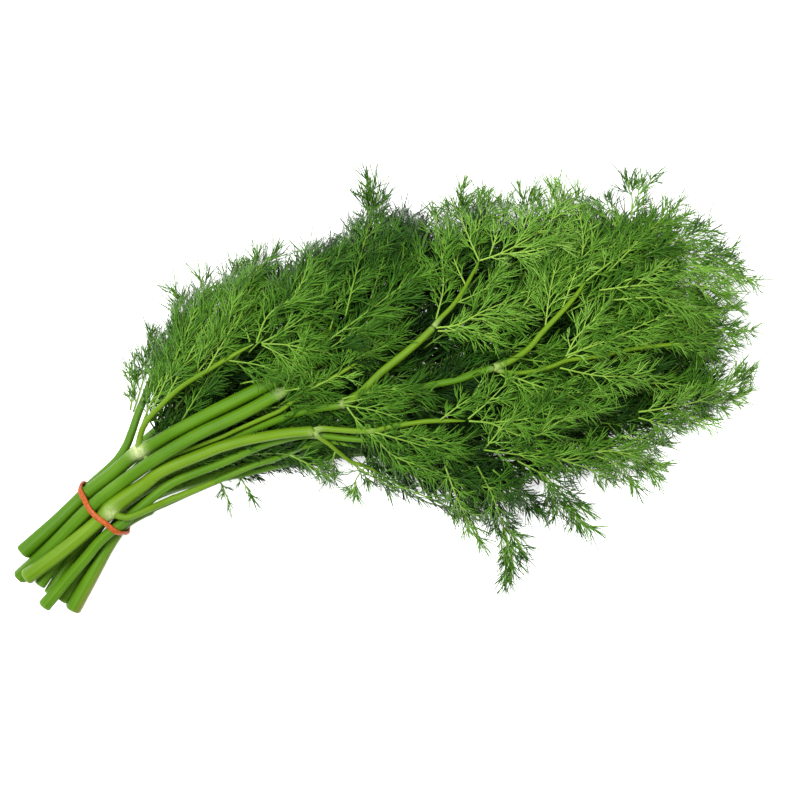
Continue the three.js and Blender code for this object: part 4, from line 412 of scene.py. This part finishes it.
def stem_material(name, dark, mid, light, blush=0.0):
    m, nt, bs = new_material(name)
    uv = nt.nodes.new("ShaderNodeUVMap")
    uv.uv_map = "OFBake"
    mp = nt.nodes.new("ShaderNodeMapping")
    nt.links.new(uv.outputs[0], mp.inputs[0])
    mp.inputs["Scale"].default_value = (34.0, 1.8, 1.0)
    streak = nt.nodes.new("ShaderNodeTexNoise")
    streak.inputs["Scale"].default_value = 1.0
    streak.inputs["Detail"].default_value = 3.0
    streak.inputs["Roughness"].default_value = 0.72
    nt.links.new(mp.outputs[0], streak.inputs["Vector"])
    co = nt.nodes.new("ShaderNodeTexCoord")
    cloud = nt.nodes.new("ShaderNodeTexNoise")
    cloud.inputs["Scale"].default_value = 42.0
    cloud.inputs["Detail"].default_value = 2.0
    nt.links.new(co.outputs["Object"], cloud.inputs["Vector"])
    s = math_node(nt, "MULTIPLY_ADD", streak.outputs[0], 0.65)
    nt.nodes[-1].inputs[2].default_value = 0.0
    c = math_node(nt, "MULTIPLY", cloud.outputs[0], 0.35)
    f = math_node(nt, "ADD", s, c)
    col = ramp(nt, [(0.28, dark), (0.5, mid), (0.7, light)], f)
    pale = nt.nodes.new("ShaderNodeAttribute")
    pale.attribute_name = "pale"
    speck = nt.nodes.new("ShaderNodeTexNoise")
    speck.inputs["Scale"].default_value = 900.0
    speck.inputs["Detail"].default_value = 2.0
    nt.links.new(co.outputs["Object"], speck.inputs["Vector"])
    pf = math_node(nt, "MULTIPLY", pale.outputs["Fac"], ramp_fac(nt, speck.outputs[0], 0.05, 0.60))
    col = mix(nt, col, (0.48, 0.55, 0.26), pf)
    if blush:
        red = nt.nodes.new("ShaderNodeAttribute")
        red.attribute_name = "blush"
        col = mix(nt, col, (0.30, 0.16, 0.05), math_node(nt, "MULTIPLY", red.outputs["Fac"], blush))
    nt.links.new(col, bs.inputs["Base Color"])
    bs.inputs["Roughness"].default_value = 0.46
    bs.inputs["Specular IOR Level"].default_value = 0.15
    bump = nt.nodes.new("ShaderNodeBump")
    bump.inputs["Strength"].default_value = 0.55
    bump.inputs["Distance"].default_value = 0.00030
    nt.links.new(streak.outputs[0], bump.inputs["Height"])
    nt.links.new(bump.outputs[0], bs.inputs["Normal"])
    return m


def ramp_fac(nt, x, lo, hi):
    n = nt.nodes.new("ShaderNodeMapRange")
    nt.links.new(x, n.inputs[0])
    n.inputs[1].default_value = lo
    n.inputs[2].default_value = hi
    return n.outputs[0]


# leaf and rachis colours by tone: the darkest stops paint the shade of the deep sprays
LEAF_TONES = [(0.0, (0.003, 0.017, 0.001)), (0.25, (0.015, 0.064, 0.003)), (0.5, (0.056, 0.162, 0.009)), (0.75, (0.128, 0.285, 0.028)), (1.0, (0.255, 0.445, 0.085))]
RACHIS_TONES = [(0.0, (0.030, 0.080, 0.010)), (0.5, (0.130, 0.260, 0.025)), (1.0, (0.270, 0.430, 0.060))]
LEAF = leaf_material()
STEM = stem_material("dill_stem", (0.036, 0.108, 0.002), (0.062, 0.158, 0.003), (0.104, 0.220, 0.007), 0.6)
STALK = stem_material("dill_stalk", (0.064, 0.145, 0.003), (0.100, 0.196, 0.005), (0.150, 0.262, 0.012))


# ---------------------------------------------------------------- leaf sprays

class Sprays:
    """Threads of each leaf node, kept as centre lines until the node's mesh is made."""

    def __init__(self):
        self.by_node = {}
        self.count = 0

    def put(self, node, C, r, tone, v, sides):
        self.by_node.setdefault(node, []).append((C, r, tone, v, sides))
        self.count += len(C) * ((C.shape[1] - 1) * sides * 2 + 2 * (sides - 2))


def offshoots(C, idx, t, side, angle, length, bend, tilt, R, wave=0.0):
    """Curved twigs leaving the lines C[idx] at the share t of their length."""
    R0 = C.shape[1]
    u = np.clip(t, 0, 0.9999) * (R0 - 1)
    i = u.astype(int)
    f = (u - i)[:, None]
    a, b = C[idx, i], C[idx, i + 1]
    B = a * (1 - f) + b * f
    D = b - a
    run = np.maximum(np.hypot(D[:, 0], D[:, 1]), 1e-6)
    phi = np.arctan2(D[:, 1], D[:, 0])
    slope = np.clip(D[:, 2] / run, -1.2, 1.2)
    j = (np.arange(R - 1) + 0.5) / (R - 1)
    th = (phi + side * angle)[:, None] - (side * bend)[:, None] * j[None] + wave * rng.normal(0, 1, (len(t), R - 1))
    sl = np.clip(slope * 0.5 + tilt, -1.1, 1.1)[:, None] - 0.25 * j[None]
    step = (length / (R - 1))[:, None] / np.sqrt(1 + sl ** 2)
    d = np.stack([np.cos(th) * step, np.sin(th) * step, sl * step], -1)
    return np.concatenate([B[:, None], B[:, None] + np.cumsum(d, 1)], 1)


def settle(C, level, depth):
    """From plan and offset to the heap: every point is lifted by the heap's height under it."""
    z = level * heap(C[..., 0], C[..., 1]) - depth + C[..., 2]
    low = 0.32
    z = np.where(z < low + 1.2, low + 1.2 * np.exp((np.minimum(z, low + 1.2) - low - 1.2) / 1.2), z)
    out = C.copy()
    out[..., 2] = z
    return out


def grow(store, node, W, tone, depth, level, line, fine=2, roll=None, r_spine=0.40, start=0.05):
    """One spray: a spine, side twigs along it, long threads on the twigs and forks on the threads."""
    P, L = smooth_line(line, 1.8 if fine else 3.0)
    if L > 22:
        P = P[:int(round(len(P) * (1 - 4.0 / L)))]
        L -= 4.0
    n0 = len(P)
    roll = rng.normal(0, 0.25) if roll is None else roll
    C0 = np.concatenate([P, np.zeros((n0, 1))], 1)
    s0 = np.linspace(0, 1, n0)
    C0[:, 2] += 1.2 * np.sin(s0 * np.pi * rng.uniform(0.7, 1.6) + rng.uniform(0, 6)) * min(1, L / 40)
    if math.sqrt(((STEM_PLAN - P[0]) ** 2).sum(1).min()) > 2.5:
        # a spray that does not grow from a stalk in sight comes up from under its neighbours
        C0[:, 2] -= 3.2 * np.exp(-s0 * L / 5.5)
    C0 = C0[None]
    spacing = {2: 5.2, 1: 5.8, 0: 6.0}[fine]
    m = max(3, int(round(L / spacing)))
    t = (start + (0.97 - start) * (np.arange(m) + rng.uniform(0.25, 0.75, m)) / m)
    t = np.concatenate([t, np.clip(t + rng.uniform(-0.25, 0.25, m) / m, 0, 0.97)])
    side = np.concatenate([np.ones(m), -np.ones(m)])
    env = np.minimum(1, 0.55 + 1.6 * t) * (1 - 0.72 * t ** 2.4)
    ang = np.radians(40 - 24 * t + rng.normal(0, 5, 2 * m))
    ln = np.maximum(W * env * rng.uniform(0.75, 1.2, 2 * m) / np.sin(np.maximum(ang, 0.5)) * 0.92, 3.0)
    keep = rng.random(2 * m) < 0.95
    t, side, ang, ln = t[keep], side[keep], ang[keep], ln[keep]
    bend = np.radians(rng.normal(9, 8, len(t)))
    tilt = side * roll + rng.normal(0.05, 0.22, len(t))
    C1 = offshoots(C0, np.zeros(len(t), int), t, side, ang, ln, bend, tilt, 5, 0.02)
    sp2 = {2: 3.0, 1: 3.6, 0: 4.2}[fine]
    # threads along the twigs
    cnt = np.maximum(1, np.round(ln / sp2).astype(int))
    idx = np.repeat(np.arange(len(ln)), cnt)
    pos = np.concatenate([(np.arange(c) + 0.9) / (c + 0.7) for c in cnt])
    t2 = np.clip(0.08 + 0.84 * pos + rng.normal(0, 0.03, len(pos)), 0.06, 0.95)
    flip = np.concatenate([np.where((np.arange(c) + k) % 2 == 0, 1.0, -1.0) for k, c in enumerate(cnt)])
    both = rng.random(len(idx)) < (0.45 if fine == 2 else 0.3)
    idx2 = np.concatenate([idx, idx[both]])
    t2 = np.concatenate([t2, np.clip(t2[both] + rng.normal(0, 0.03, both.sum()), 0.05, 0.95)])
    side2 = np.concatenate([flip, -flip[both]])
    k2 = len(idx2)
    l2 = (5.4 + 0.55 * ln[idx2]) * (1 - 0.34 * t2) * rng.uniform(0.6, 1.3, k2) * (0.85 + 0.6 * t[idx2] ** 2)
    l2 = np.clip(l2, 4.2, 15.0 if fine == 2 else 12.0 if fine else 9.0)
    C2 = offshoots(C1, idx2, t2, side2, np.radians(rng.normal(23, 6, k2)), l2, np.radians(rng.normal(5, 7, k2)), rng.normal(0.05, 0.24, k2), 4 if fine == 2 else 3, 0.018)
    # forks
    C3 = None
    if fine:
        big = np.where(l2 > (3.8 if fine == 2 else 5.5))[0]
    if fine and len(big):
        reps = np.where(l2[big] > 10.5, 3, 2) if fine == 2 else np.ones(len(big), int)
        if fine == 2:
            reps = np.where(t[idx2][big] > 0.72, 1, reps)
        idx3 = np.repeat(big, reps)
        q = np.concatenate([np.arange(c) for c in reps])
        t3 = np.clip(0.14 + 0.22 * q + rng.normal(0, 0.05, len(q)), 0.06, 0.8)
        side3 = np.where((q + idx3) % 2 == 0, 1.0, -1.0)
        l3 = np.clip(l2[idx3] * (0.78 - 0.42 * t3) * rng.uniform(0.65, 1.2, len(q)), 2.6, 9.5)
        C3 = offshoots(C2, idx3, t3, side3, np.radians(rng.normal(19, 5, len(q))), l3, np.radians(rng.normal(5, 7, len(q))), rng.normal(0.05, 0.22, len(q)), 3, 0.018)
    fat = {2: 0.95, 1: 1.1, 0: 2.0}[fine]
    tone = tone + rng.normal(0, 0.05) + 0.13 * float(np.interp(P[:, 0].mean(), (-30, 0, 40, 75, 105, 135), (0.2, -0.85, -0.5, 1.0, 0.7, -0.1)))
    wob = rng.normal(0, 0.08, len(ln))

    def lay(C, r0, r1, tn, v0, v1, sides):
        n, R = C.shape[:2]
        s = np.linspace(0, 1, R)[None]
        r = (r0 + (r1 - r0) * s ** 1.3) * fat * np.ones((n, 1))
        v = (v0 + (v1 - v0) * s) * np.ones((n, 1))
        store.put(node, settle(C, level, depth), r, np.clip(tn, 0.01, 0.99), v, sides)

    lay(C0, r_spine, 0.20, np.full(1, tone + 0.12), 0.0, 0.5, 5)
    lay(C1, 0.29, 0.19, tone + 0.06 + wob, 0.25, 0.8, 4 if fine == 2 else 3)
    lay(C2, 0.26, 0.15, tone + wob[idx2] + rng.normal(0, 0.07, k2), 0.55, 0.97, 3)
    if C3 is not None:
        lay(C3, 0.245, 0.13, tone + wob[idx2][idx3] + rng.normal(0, 0.08, len(idx3)), 0.7, 1.0, 3)


STEM_PLAN = np.vstack([smooth_line(np.array(p)[:, :2], 2.0)[0] for n, a, b, p in STEMS])
store = Sprays()
for node, W, tone, depth, level, line in SPRAYS:
    grow(store, node, W, tone, depth, level, line, fine=2)
print("traced sprays", store.count)

# the way the leaves lie, taken from the traced sprays
FP, FD = [], []
for node, W, tone, depth, level, line in SPRAYS:
    P, L = smooth_line(line, 5.0)
    D = np.gradient(P, axis=0)
    D /= np.linalg.norm(D, axis=1, keepdims=True)
    FP.append(P)
    FD.append(D)
FP, FD = np.vstack(FP), np.vstack(FD)


def flow(p):
    w = np.exp(-((FP - p) ** 2).sum(1) / (2 * 11.0 ** 2))
    out = np.array([p[0] + 112, (p[1] - 18) * 1.1])
    d = (FD * w[:, None]).sum(0) + 0.25 * out / np.linalg.norm(out)
    return d / np.linalg.norm(d)


TOP_STEMS = ("stem_upper_left", "stem_centre_left", "stem_front", "stem_right", "stem_long", "stalk_left_leaf", "stalk_upper_leaf", "stalk_upper_leaf_tip", "stalk_right_upper", "stalk_right_lower", "stalk_front_leaf", "stalk_thin_left")
SP = np.vstack([smooth_line(np.array(p)[:, :2], 3.0)[0] for n, a, b, p in STEMS if n in TOP_STEMS])
NODE_AT = {}
for node, W, tone, depth, level, line in SPRAYS:
    NODE_AT.setdefault(node, []).append(smooth_line(line, 6.0)[0])
NODE_AT = {k: np.vstack(v) for k, v in NODE_AT.items()}


def nearest(names, p):
    return min(names, key=lambda k: ((NODE_AT[k] - p) ** 2).sum(1).min())


for n, pts in (("leaf_under_left", [(-40, 45), (-10, 50)]), ("leaf_under_middle", [(5, 15), (40, 22)]), ("leaf_under_right", [(40, -20), (80, -22)]), ("leaf_under_crest", [(75, 20), (115, 15)]),
               ("leaf_base_left", [(-55, 40), (-25, 50)]), ("leaf_base_middle", [(-10, 15), (25, 30)]), ("leaf_base_crest", [(45, 15), (85, 25)]), ("leaf_base_low", [(20, -40), (60, -45)]), ("leaf_base_right", [(95, -20), (130, -15)])):
    NODE_AT[n] = np.array(pts, float)
TOP_NODES = sorted({s[0] for s in SPRAYS})
UNDER = ["leaf_under_left", "leaf_under_middle", "leaf_under_right", "leaf_under_crest"]
BASE = ["leaf_base_left", "leaf_base_middle", "leaf_base_crest", "leaf_base_low", "leaf_base_right"]


# openings between the top sprays, where top sprays are left out and the sprays near them get painted shade: x, y,
# radius
HOLLOWS = np.array([(27.6, 25.1, 9), (7.9, 24.7, 9), (41.6, -9.8, 8), (52.3, -19.8, 9), (65.2, -29.9, 10), (71.3, -45.6, 9), (6.9, 43.9, 7), (-19.3, 33.8, 7), (-52.8, 27.0, 8), (35.0, 9.6, 8), (70.9, 2.3, 8), (2.3, -20.1, 9), (-25.4, -9.1, 8), (88.6, -35.9, 8)], float)
# notches in the rim that stay open
GAPS = np.array([(124.2, -37.4), (129.0, -38.6), (139.6, -27.1), (36.9, -67.1), (72.0, -71.4), (163.7, 2.8), (116.9, 39.5)], float)
GAP_SIZE = 6.5


def fill(spacing, names, level, depth, W, length, tone, fine, margin, x_from, spread=0.25, over_stems=5.0, rim=0.0):
    """An even layer of sprays following the leaves' lie, kept inside the heap's outline."""
    made = 0
    xs = np.arange(x_from, 150, spacing)
    for ix, x0 in enumerate(xs):
        for y0 in np.arange(-75, 85, spacing):
            p = np.array([x0, y0 + (spacing / 2 if ix % 2 else 0)]) + rng.uniform(-0.35, 0.35, 2) * spacing
            if inside(p[0], p[1], margin) < 0:
                continue
            L = rng.uniform(*length)
            line = [p]
            turn = rng.normal(0, spread)
            for _ in range(5):
                d = flow(line[-1])
                c, s = math.cos(turn), math.sin(turn)
                d = np.array([c * d[0] - s * d[1], s * d[0] + c * d[1]])
                line.append(line[-1] + d * L / 5)
                turn += rng.normal(0, 0.08)
            line = np.array(line)
            ok = inside(line[:, 0], line[:, 1], margin * 0.7) > 0
            if ok.sum() < 4:
                continue
            line = line[: max(4, ok.sum())]
            near = np.sqrt(((SP[None] - line[:, None]) ** 2).sum(2)).min() < 7
            dp = depth + rng.uniform(-0.8, 1.8)
            if near:
                dp = max(dp, over_stems + rng.uniform(0, 2))
            edge = math.exp(-max(float(inside(line[:, 0], line[:, 1], 0).min()), 0) / 9)
            if ((line[2:4, None] - GAPS[None, :, :2]) ** 2).sum(2).min() < GAP_SIZE ** 2:
                continue
            hollow = max((math.exp(-(((line[2] - q[:2]) / q[2]) ** 2).sum()) for q in HOLLOWS), default=0)
            if depth < 5 and level > 0.9 and hollow > 0.45:
                continue
            # painted shade: a spray set deeper gets a darker tone, and one near a hollow darker still; painted light:
            # rim lifts the tone near the outline, where less shade falls
            tn = tone + rng.normal(0, 0.07) - 0.02 * (dp - depth) + rim * edge - 0.16 * hollow
            grow(store, nearest(names, line[2]), rng.uniform(*W), tn, dp, level, line, fine=fine)
            made += 1
    print("fill", level, depth, made, store.count)


# each lower layer gets a darker tone as painted shade under the top sprays, and rim lifts it near the outline as
# painted light
fill(18.5, TOP_NODES, 1.0, 3.2, (7, 10), (28, 42), 0.36, 2, 9.0, -88, rim=0.05)
fill(16.0, TOP_NODES, 0.97, 7.5, (8, 11), (28, 42), 0.15, 1, 12.0, -92, rim=0.28)
fill(15.0, UNDER, 0.80, 5.0, (9, 12), (30, 44), 0.06, 1, 14.5, -92, rim=0.35)
fill(13.5, UNDER, 0.55, 2.0, (9, 12), (30, 42), 0.03, 0, 18.0, -92, rim=0.4)
fill(13.5, BASE, 0.28, 1.0, (9, 12), (30, 42), 0.02, 0, 19.0, -92, rim=0.4)
fill(13.5, BASE, 0.06, 0.0, (9, 12), (30, 42), 0.02, 0, 20.0, -90, rim=0.4)


def finish_leaf(node, parts):
    groups = {}
    for C, r, tone, v, sides in parts:
        groups.setdefault((C.shape[1], sides), []).append((C, r, tone, v))
    blocks = []
    for (R, sides), g in groups.items():
        C, r, tone, v = (np.concatenate([q[k] for q in g]) for k in range(4))
        block = tube_block(C, r, sides, tone, v, 0.4)
        block[0][:, 2] = np.maximum(block[0][:, 2], 0.03)
        blocks.append(block)
    # caps of different side counts go in separate blocks, so each block has one cap size
    ob = build_mesh(node + "_threads", blocks)
    ob.data.materials.append(LEAF)
    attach(ob, "root")
    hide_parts(node)
    return ob


for node, parts in sorted(store.by_node.items()):
    ob = finish_leaf(node, parts)
    n = sum(len(C) * ((C.shape[1] - 1) * s * 2 + 2 * (s - 2)) for C, r, t, v, s in parts)
    if n > 150000:
        print("big piece", node, n)
missing = [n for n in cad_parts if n.startswith("leaf") and n not in store.by_node]
print("leaf nodes with no threads:", missing)


# ---------------------------------------------------------------- stems and stalks

# joints where leaves leave the stems: x, y, swelling, paleness, reach
JOINTS = [(-95.5, 22.8, 0.22, 1, 4.5), (-116.4, 4.8, 0.1, 0.75, 3.4), (-33.1, 21.7, 0.1, 0.32, 2.4), (-26.8, 2.0, 0.06, 0.35, 2.5), (48.0, -4.1, 0.2, 0.9, 2), (32.6, 20.2, 0.12, 0.6, 1.8), (-34.0, 43.3, 0.2, 1, 1.8), (-6.2, -7.1, 0.1, 0.5, 1.6), (-12.0, 7.6, 0.06, 0.35, 2)]


PARENT = {
    "stalk_left_leaf": "stem_upper_left", "stalk_thin_left": "stem_upper_left", "stalk_upper_leaf_tip": "stalk_upper_leaf",
    "stalk_right_upper": "stem_long", "stalk_right_lower": "stem_long", "stalk_front_leaf": "stem_front", "stalk_hanging_leaf": "stem_front",
    "stalk_upper_leaf": "stem_centre_right",
}
CARRIED_ON = ("stem_front", "stem_long", "stalk_upper_leaf")
PATHS = {n: smooth_line(p, 1.0)[0] for n, a, b, p in STEMS}


SIDE_SHOOT = ("stem_front", 1.5, 1.3, [(-116.3, 6.6, 18.0), (-115.6, 4.9, 20.3), (-114.8, 3.3, 22.6), (-113.4, 2.2, 22.6), (-111.9, 1.1, 22.6), (-110.1, 0.8, 22.6), (-108.3, 0.6, 22.5), (-106.5, 0.5, 22.2), (-104.7, 0.5, 21.8), (-102.9, 0.5, 21.3), (-101.1, 0.5, 20.5), (-99.2, 0.5, 19.2), (-97.4, 0.5, 18.1), (-95.6, 0.5, 17.3), (-93.8, 0.5, 16.9), (-91.9, 0.5, 16.4), (-90.1, 0.3, 16.0), (-88.3, 0.2, 15.5), (-86.5, 0.2, 15.1), (-84.7, 0.1, 14.6), (-82.8, 0.0, 14.2), (-81.0, -0.0, 13.7), (-79.2, -0.1, 13.3), (-77.3, -0.1, 12.8), (-75.5, -0.2, 12.4), (-73.7, -0.2, 12.0)])


def stalk_like(node):
    return node.startswith('stalk') or node == 'stem_long'


def stem_mesh(node, r0, r1, path, sides=20, step=1.3, cut=True):
    if node in PARENT:
        # a stalk starts inside the stem that it grows from
        Q = PATHS[PARENT[node]]
        d = np.linalg.norm(Q - np.array(path[0]), axis=1)
        if d.min() < 7:
            path = [tuple(Q[d.argmin()])] + list(path)
    P, L = smooth_line(path, step)
    n = len(P)
    s = np.linspace(0, L, n)
    r = r0 + (r1 - r0) * (s / L) ** 0.9
    if cut:
        r = r + 0.4 * np.exp(-s / 22)
    if node == "stem_outer_right":
        r = np.minimum(r, np.interp(s, (0, 42, 56, L), (9, 9, 1.5, r1)))
    pale = np.zeros(n)
    swell = np.ones(n)
    soft = 0.4 if stalk_like(node) else 1.0
    for x, y, big, light, reach in ([] if path is SIDE_SHOOT[3] else JOINTS):
        d = np.hypot(P[:, 0] - x, P[:, 1] - y)
        i = int(d.argmin())
        if d[i] < 3.2:
            g = np.exp(-((s - s[i]) / reach) ** 2)
            swell += soft * big * g
            pale = np.maximum(pale, soft * light * np.exp(-((s - s[i]) / (reach * 0.8)) ** 2))
    if node == "stem_front" and cut:
        # the leaf base wraps the stem just past the band, then narrows
        s0 = s[int(np.hypot(P[:, 0] - JOINTS[1][0], P[:, 1] - JOINTS[1][1]).argmin())]
        swell += 0.36 * np.exp(-((s - s0) / 17) ** 2) * (s > s0) + 0.36 * np.exp(-((s - s0) / 4) ** 2) * (s <= s0)
    if not cut:
        swell += 0.35 * np.exp(-s / 2.5)
        pale = np.maximum(pale, 0.35 * np.exp(-(s / 3.0) ** 2))
    short = 1.2 if node in CARRIED_ON else 9.0
    tip = np.clip((L - s) / short, 0, 1) ** 0.5
    r = r * swell * np.where(s > L - short, np.maximum(tip, 0.3 if node in CARRIED_ON else 0.12), 1)
    C = P.copy()
    # ends: a cut face with a softened rim, or a tip lost among the leaves
    T = np.gradient(P, axis=0)
    T /= np.linalg.norm(T, axis=1, keepdims=True)
    seed = sum(ord(c) for c in node)
    rg = np.random.default_rng(seed)
    if cut:
        e = 0.28
        pre = np.array([C[0] + T[0] * e * 0.9, C[0] - T[0] * 0.05, C[0], C[0] + T[0] * e * 0.2])
        pr = np.array([0.55, 0.80, 0.94, 1.0]) * r[0]
        C = np.vstack([pre[0], pre[1], pre[2], C[0] + T[0] * e, C[1:]])
        r = np.r_[pr[0], pr[1], pr[2], r[0], r[1:]]
        pale = np.r_[1.0, 0.95, 0.6, 0.12, pale[1:]]
    T3, side, up = frames(C[None])
    if cut:
        for k in range(4):
            side[0, k], up[0, k] = side[0, 4], up[0, 4]
    a = 2 * np.pi * np.arange(sides) / sides
    ph = rg.uniform(0, 6, 3)
    ridge = 1 + 0.030 * np.cos(5 * a + ph[0]) + 0.018 * np.cos(9 * a + ph[1])
    sway = 1 + 0.02 * np.sin(np.linspace(0, L / 9, len(C)) + ph[2])
    rr = (r * sway)[:, None] * ridge[None]
    V = C[:, None] + rr[:, :, None] * (np.cos(a)[None, :, None] * side[0][:, None] + np.sin(a)[None, :, None] * up[0][:, None])
    V[..., 2] = np.maximum(V[..., 2], 0.05)
    R = len(C)
    i, k = np.meshgrid(np.arange(R - 1), np.arange(sides), indexing="ij")
    k2 = (k + 1) % sides
    Q = np.stack([i * sides + k, i * sides + k2, (i + 1) * sides + k2, (i + 1) * sides + k], -1).reshape(-1, 4)
    vv = 0.05 + 0.9 * np.linspace(0, 1, R)
    QUV = np.stack([np.stack([k, k + 1, k + 1, k], -1) / sides, vv[np.stack([i, i, i + 1, i + 1], -1)]], -1).reshape(-1, 4, 2)
    ring = np.arange(sides)
    caps = np.stack([ring[::-1], (R - 1) * sides + ring])
    cc = np.stack([0.025 + 0.018 * np.cos(a), 0.025 + 0.018 * np.sin(a)], -1)
    cuv = np.stack([cc[::-1], cc * [1, 1] + [0.06, 0.0]])
    V = V.reshape(-1, 3)
    at = {"pale": np.repeat(pale, sides)}
    if node == "stem_front" and cut:
        # its joint is pale on the side of the shoot only
        wet = np.clip(0.5 - 0.75 * np.cos(a) + 0.1 * np.sin(a), 0, 1)
        at["pale"] = np.where(np.arange(R)[:, None] < 5, 1.0, wet[None]).ravel() * at["pale"]
    red = np.zeros((R, sides))
    if node == "stem_outer_right":
        edge = np.clip(np.cos(a - np.pi), 0, 1) ** 2
        red = np.exp(-np.linspace(0, L, R) / 30)[:, None] * edge[None]
    at["blush"] = red.ravel()
    return V, Q, QUV, caps, cuv, at


for node, r0, r1, path in STEMS + [SIDE_SHOOT]:
    stalk = node.startswith("stalk") or path is SIDE_SHOOT[3]
    V, Q, QUV, caps, cuv, at = stem_mesh(node, r0, r1, path, 14 if stalk else 20, 1.0 if stalk else 1.4, cut=not stalk)
    ob = build_mesh(node + ("_side_shoot" if path is SIDE_SHOOT[3] else "_skin"), [(V, Q, QUV, caps, cuv)], at)
    ob.data.materials.append(STALK if stalk or node == "stem_front" else STEM)
    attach(ob, "root")
    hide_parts(node)


# ---------------------------------------------------------------- rubber band

def band_mesh():
    P = np.array(BAND)
    n0 = len(P)
    Q = np.vstack([P, P[:1]])
    d = np.r_[0, np.cumsum(np.linalg.norm(np.diff(Q, axis=0), axis=1))]
    n = 160
    s = np.linspace(0, d[-1], n + 1)[:-1]
    C = np.stack([np.interp(s, d, Q[:, k]) for k in range(3)], 1)
    for _ in range(6):
        C = (np.roll(C, 1, 0) + 2 * C + np.roll(C, -1, 0)) / 4
    c = C.mean(0)
    N = np.cross(C - c, np.roll(C, -1, 0) - c).sum(0)
    N /= np.linalg.norm(N)
    T = np.roll(C, -1, 0) - np.roll(C, 1, 0)
    T /= np.linalg.norm(T, axis=1, keepdims=True)
    O = np.cross(T, N)
    th = np.linspace(0, 2 * np.pi, n, endpoint=False)
    twist = 0.30 * np.sin(th * 2 + 0.6) + 0.18 * np.sin(th * 5 + 1.0)
    slip = 0.35 * np.sin(th * 3 + 2.0) + 0.2 * np.sin(th * 7)
    C = C + N[None] * slip[:, None]
    w, h, e = 1.12, 0.66, 3.0
    a = 2 * np.pi * np.arange(16) / 16
    sx = np.sign(np.cos(a)) * np.abs(np.cos(a)) ** (2 / e) * w
    sy = np.sign(np.sin(a)) * np.abs(np.sin(a)) ** (2 / e) * h
    ct, stw = np.cos(twist)[:, None], np.sin(twist)[:, None]
    x = ct * sx[None] - stw * sy[None]
    y = stw * sx[None] + ct * sy[None]
    V = C[:, None] + x[..., None] * N[None, None] + y[..., None] * O[:, None]
    V[..., 2] = np.maximum(V[..., 2], 0.04)
    i, k = np.meshgrid(np.arange(n), np.arange(16), indexing="ij")
    i2, k2 = (i + 1) % n, (k + 1) % 16
    Qd = np.stack([i * 16 + k, i * 16 + k2, i2 * 16 + k2, i2 * 16 + k], -1).reshape(-1, 4)
    UV = np.stack([np.stack([k, k + 1, k + 1, k], -1) / 16, np.stack([i, i, i + 1, i + 1], -1) / n], -1).reshape(-1, 4, 2)
    return V.reshape(-1, 3), Qd, UV, None, None


def band_material():
    m, nt, bs = new_material("orange_rubber")
    uv = nt.nodes.new("ShaderNodeUVMap")
    uv.uv_map = "OFBake"
    mp = nt.nodes.new("ShaderNodeMapping")
    mp.inputs["Scale"].default_value = (5.0, 40.0, 1.0)
    nt.links.new(uv.outputs[0], mp.inputs[0])
    no = nt.nodes.new("ShaderNodeTexNoise")
    no.inputs["Scale"].default_value = 2.0
    no.inputs["Detail"].default_value = 4.0
    nt.links.new(mp.outputs[0], no.inputs["Vector"])
    col = ramp(nt, [(0.3, (0.22, 0.036, 0.005)), (0.5, (0.34, 0.064, 0.008)), (0.72, (0.44, 0.102, 0.016))], no.outputs[0])
    nt.links.new(col, bs.inputs["Base Color"])
    bs.inputs["Roughness"].default_value = 0.5
    bs.inputs["Specular IOR Level"].default_value = 0.22
    bump = nt.nodes.new("ShaderNodeBump")
    bump.inputs["Strength"].default_value = 0.5
    bump.inputs["Distance"].default_value = 0.0001
    nt.links.new(no.outputs[0], bump.inputs["Height"])
    nt.links.new(bump.outputs[0], bs.inputs["Normal"])
    return m


ob = build_mesh("rubber_band_loop", [band_mesh()])
ob.data.materials.append(band_material())
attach(ob, "root")
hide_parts("rubber_band")


# ---------------------------------------------------------------- stage

def stage():
    me = bpy.data.meshes.new("floor")
    s = 14.0
    me.from_pydata([(-s, -s, -0.0001), (s, -s, -0.0001), (s, s, -0.0001), (-s, s, -0.0001)], [], [(0, 1, 2, 3)])
    ob = bpy.data.objects.new("floor", me)
    bpy.context.scene.collection.objects.link(ob)
    m, nt, bs = new_material("floor_white")
    bs.inputs["Base Color"].default_value = (0.95, 0.95, 0.95, 1)
    bs.inputs["Roughness"].default_value = 0.9
    bs.inputs["Specular IOR Level"].default_value = 0.1
    bs.inputs["Emission Color"].default_value = (1.0, 1.0, 1.0, 1.0)
    bs.inputs["Emission Strength"].default_value = FLOOR_GLOW
    me.materials.append(m)
    w = bpy.data.worlds.new("studio")
    w.use_nodes = True
    w.node_tree.nodes["Background"].inputs[0].default_value = (1, 1, 1, 1)
    w.node_tree.nodes["Background"].inputs[1].default_value = WORLD
    sc = bpy.context.scene
    sc.world = w
    for loc, size, power in LIGHTS:
        li = bpy.data.lights.new("soft", "AREA")
        li.size = size
        li.energy = power
        lo = bpy.data.objects.new("soft", li)
        lo.location = loc
        d = -np.array(loc)
        lo.rotation_euler = Vector(d).to_track_quat("-Z", "Y").to_euler()
        sc.collection.objects.link(lo)
    cam = bpy.data.cameras.new("camera")
    cam.sensor_width = 36.0
    cam.lens = 36.0 * CAMERA_HEIGHT / CAMERA_FIELD
    cam.clip_start, cam.clip_end = 0.01, 20.0
    co = bpy.data.objects.new("camera", cam)
    co.location = (CAMERA_XY[0] * MM, CAMERA_XY[1] * MM, CAMERA_HEIGHT * MM)
    co.rotation_euler = (0, 0, math.radians(CAMERA_TURN))
    sc.collection.objects.link(co)
    sc.camera = co
    sc.view_settings.view_transform = "Standard"
    sc.view_settings.look = "None"


WORLD = 0.50
FLOOR_GLOW = 0.56
LIGHTS = [((-0.25, 0.50, 1.35), 0.5, 30.0), ((0.5, -0.4, 1.5), 1.0, 8.0)]
stage()
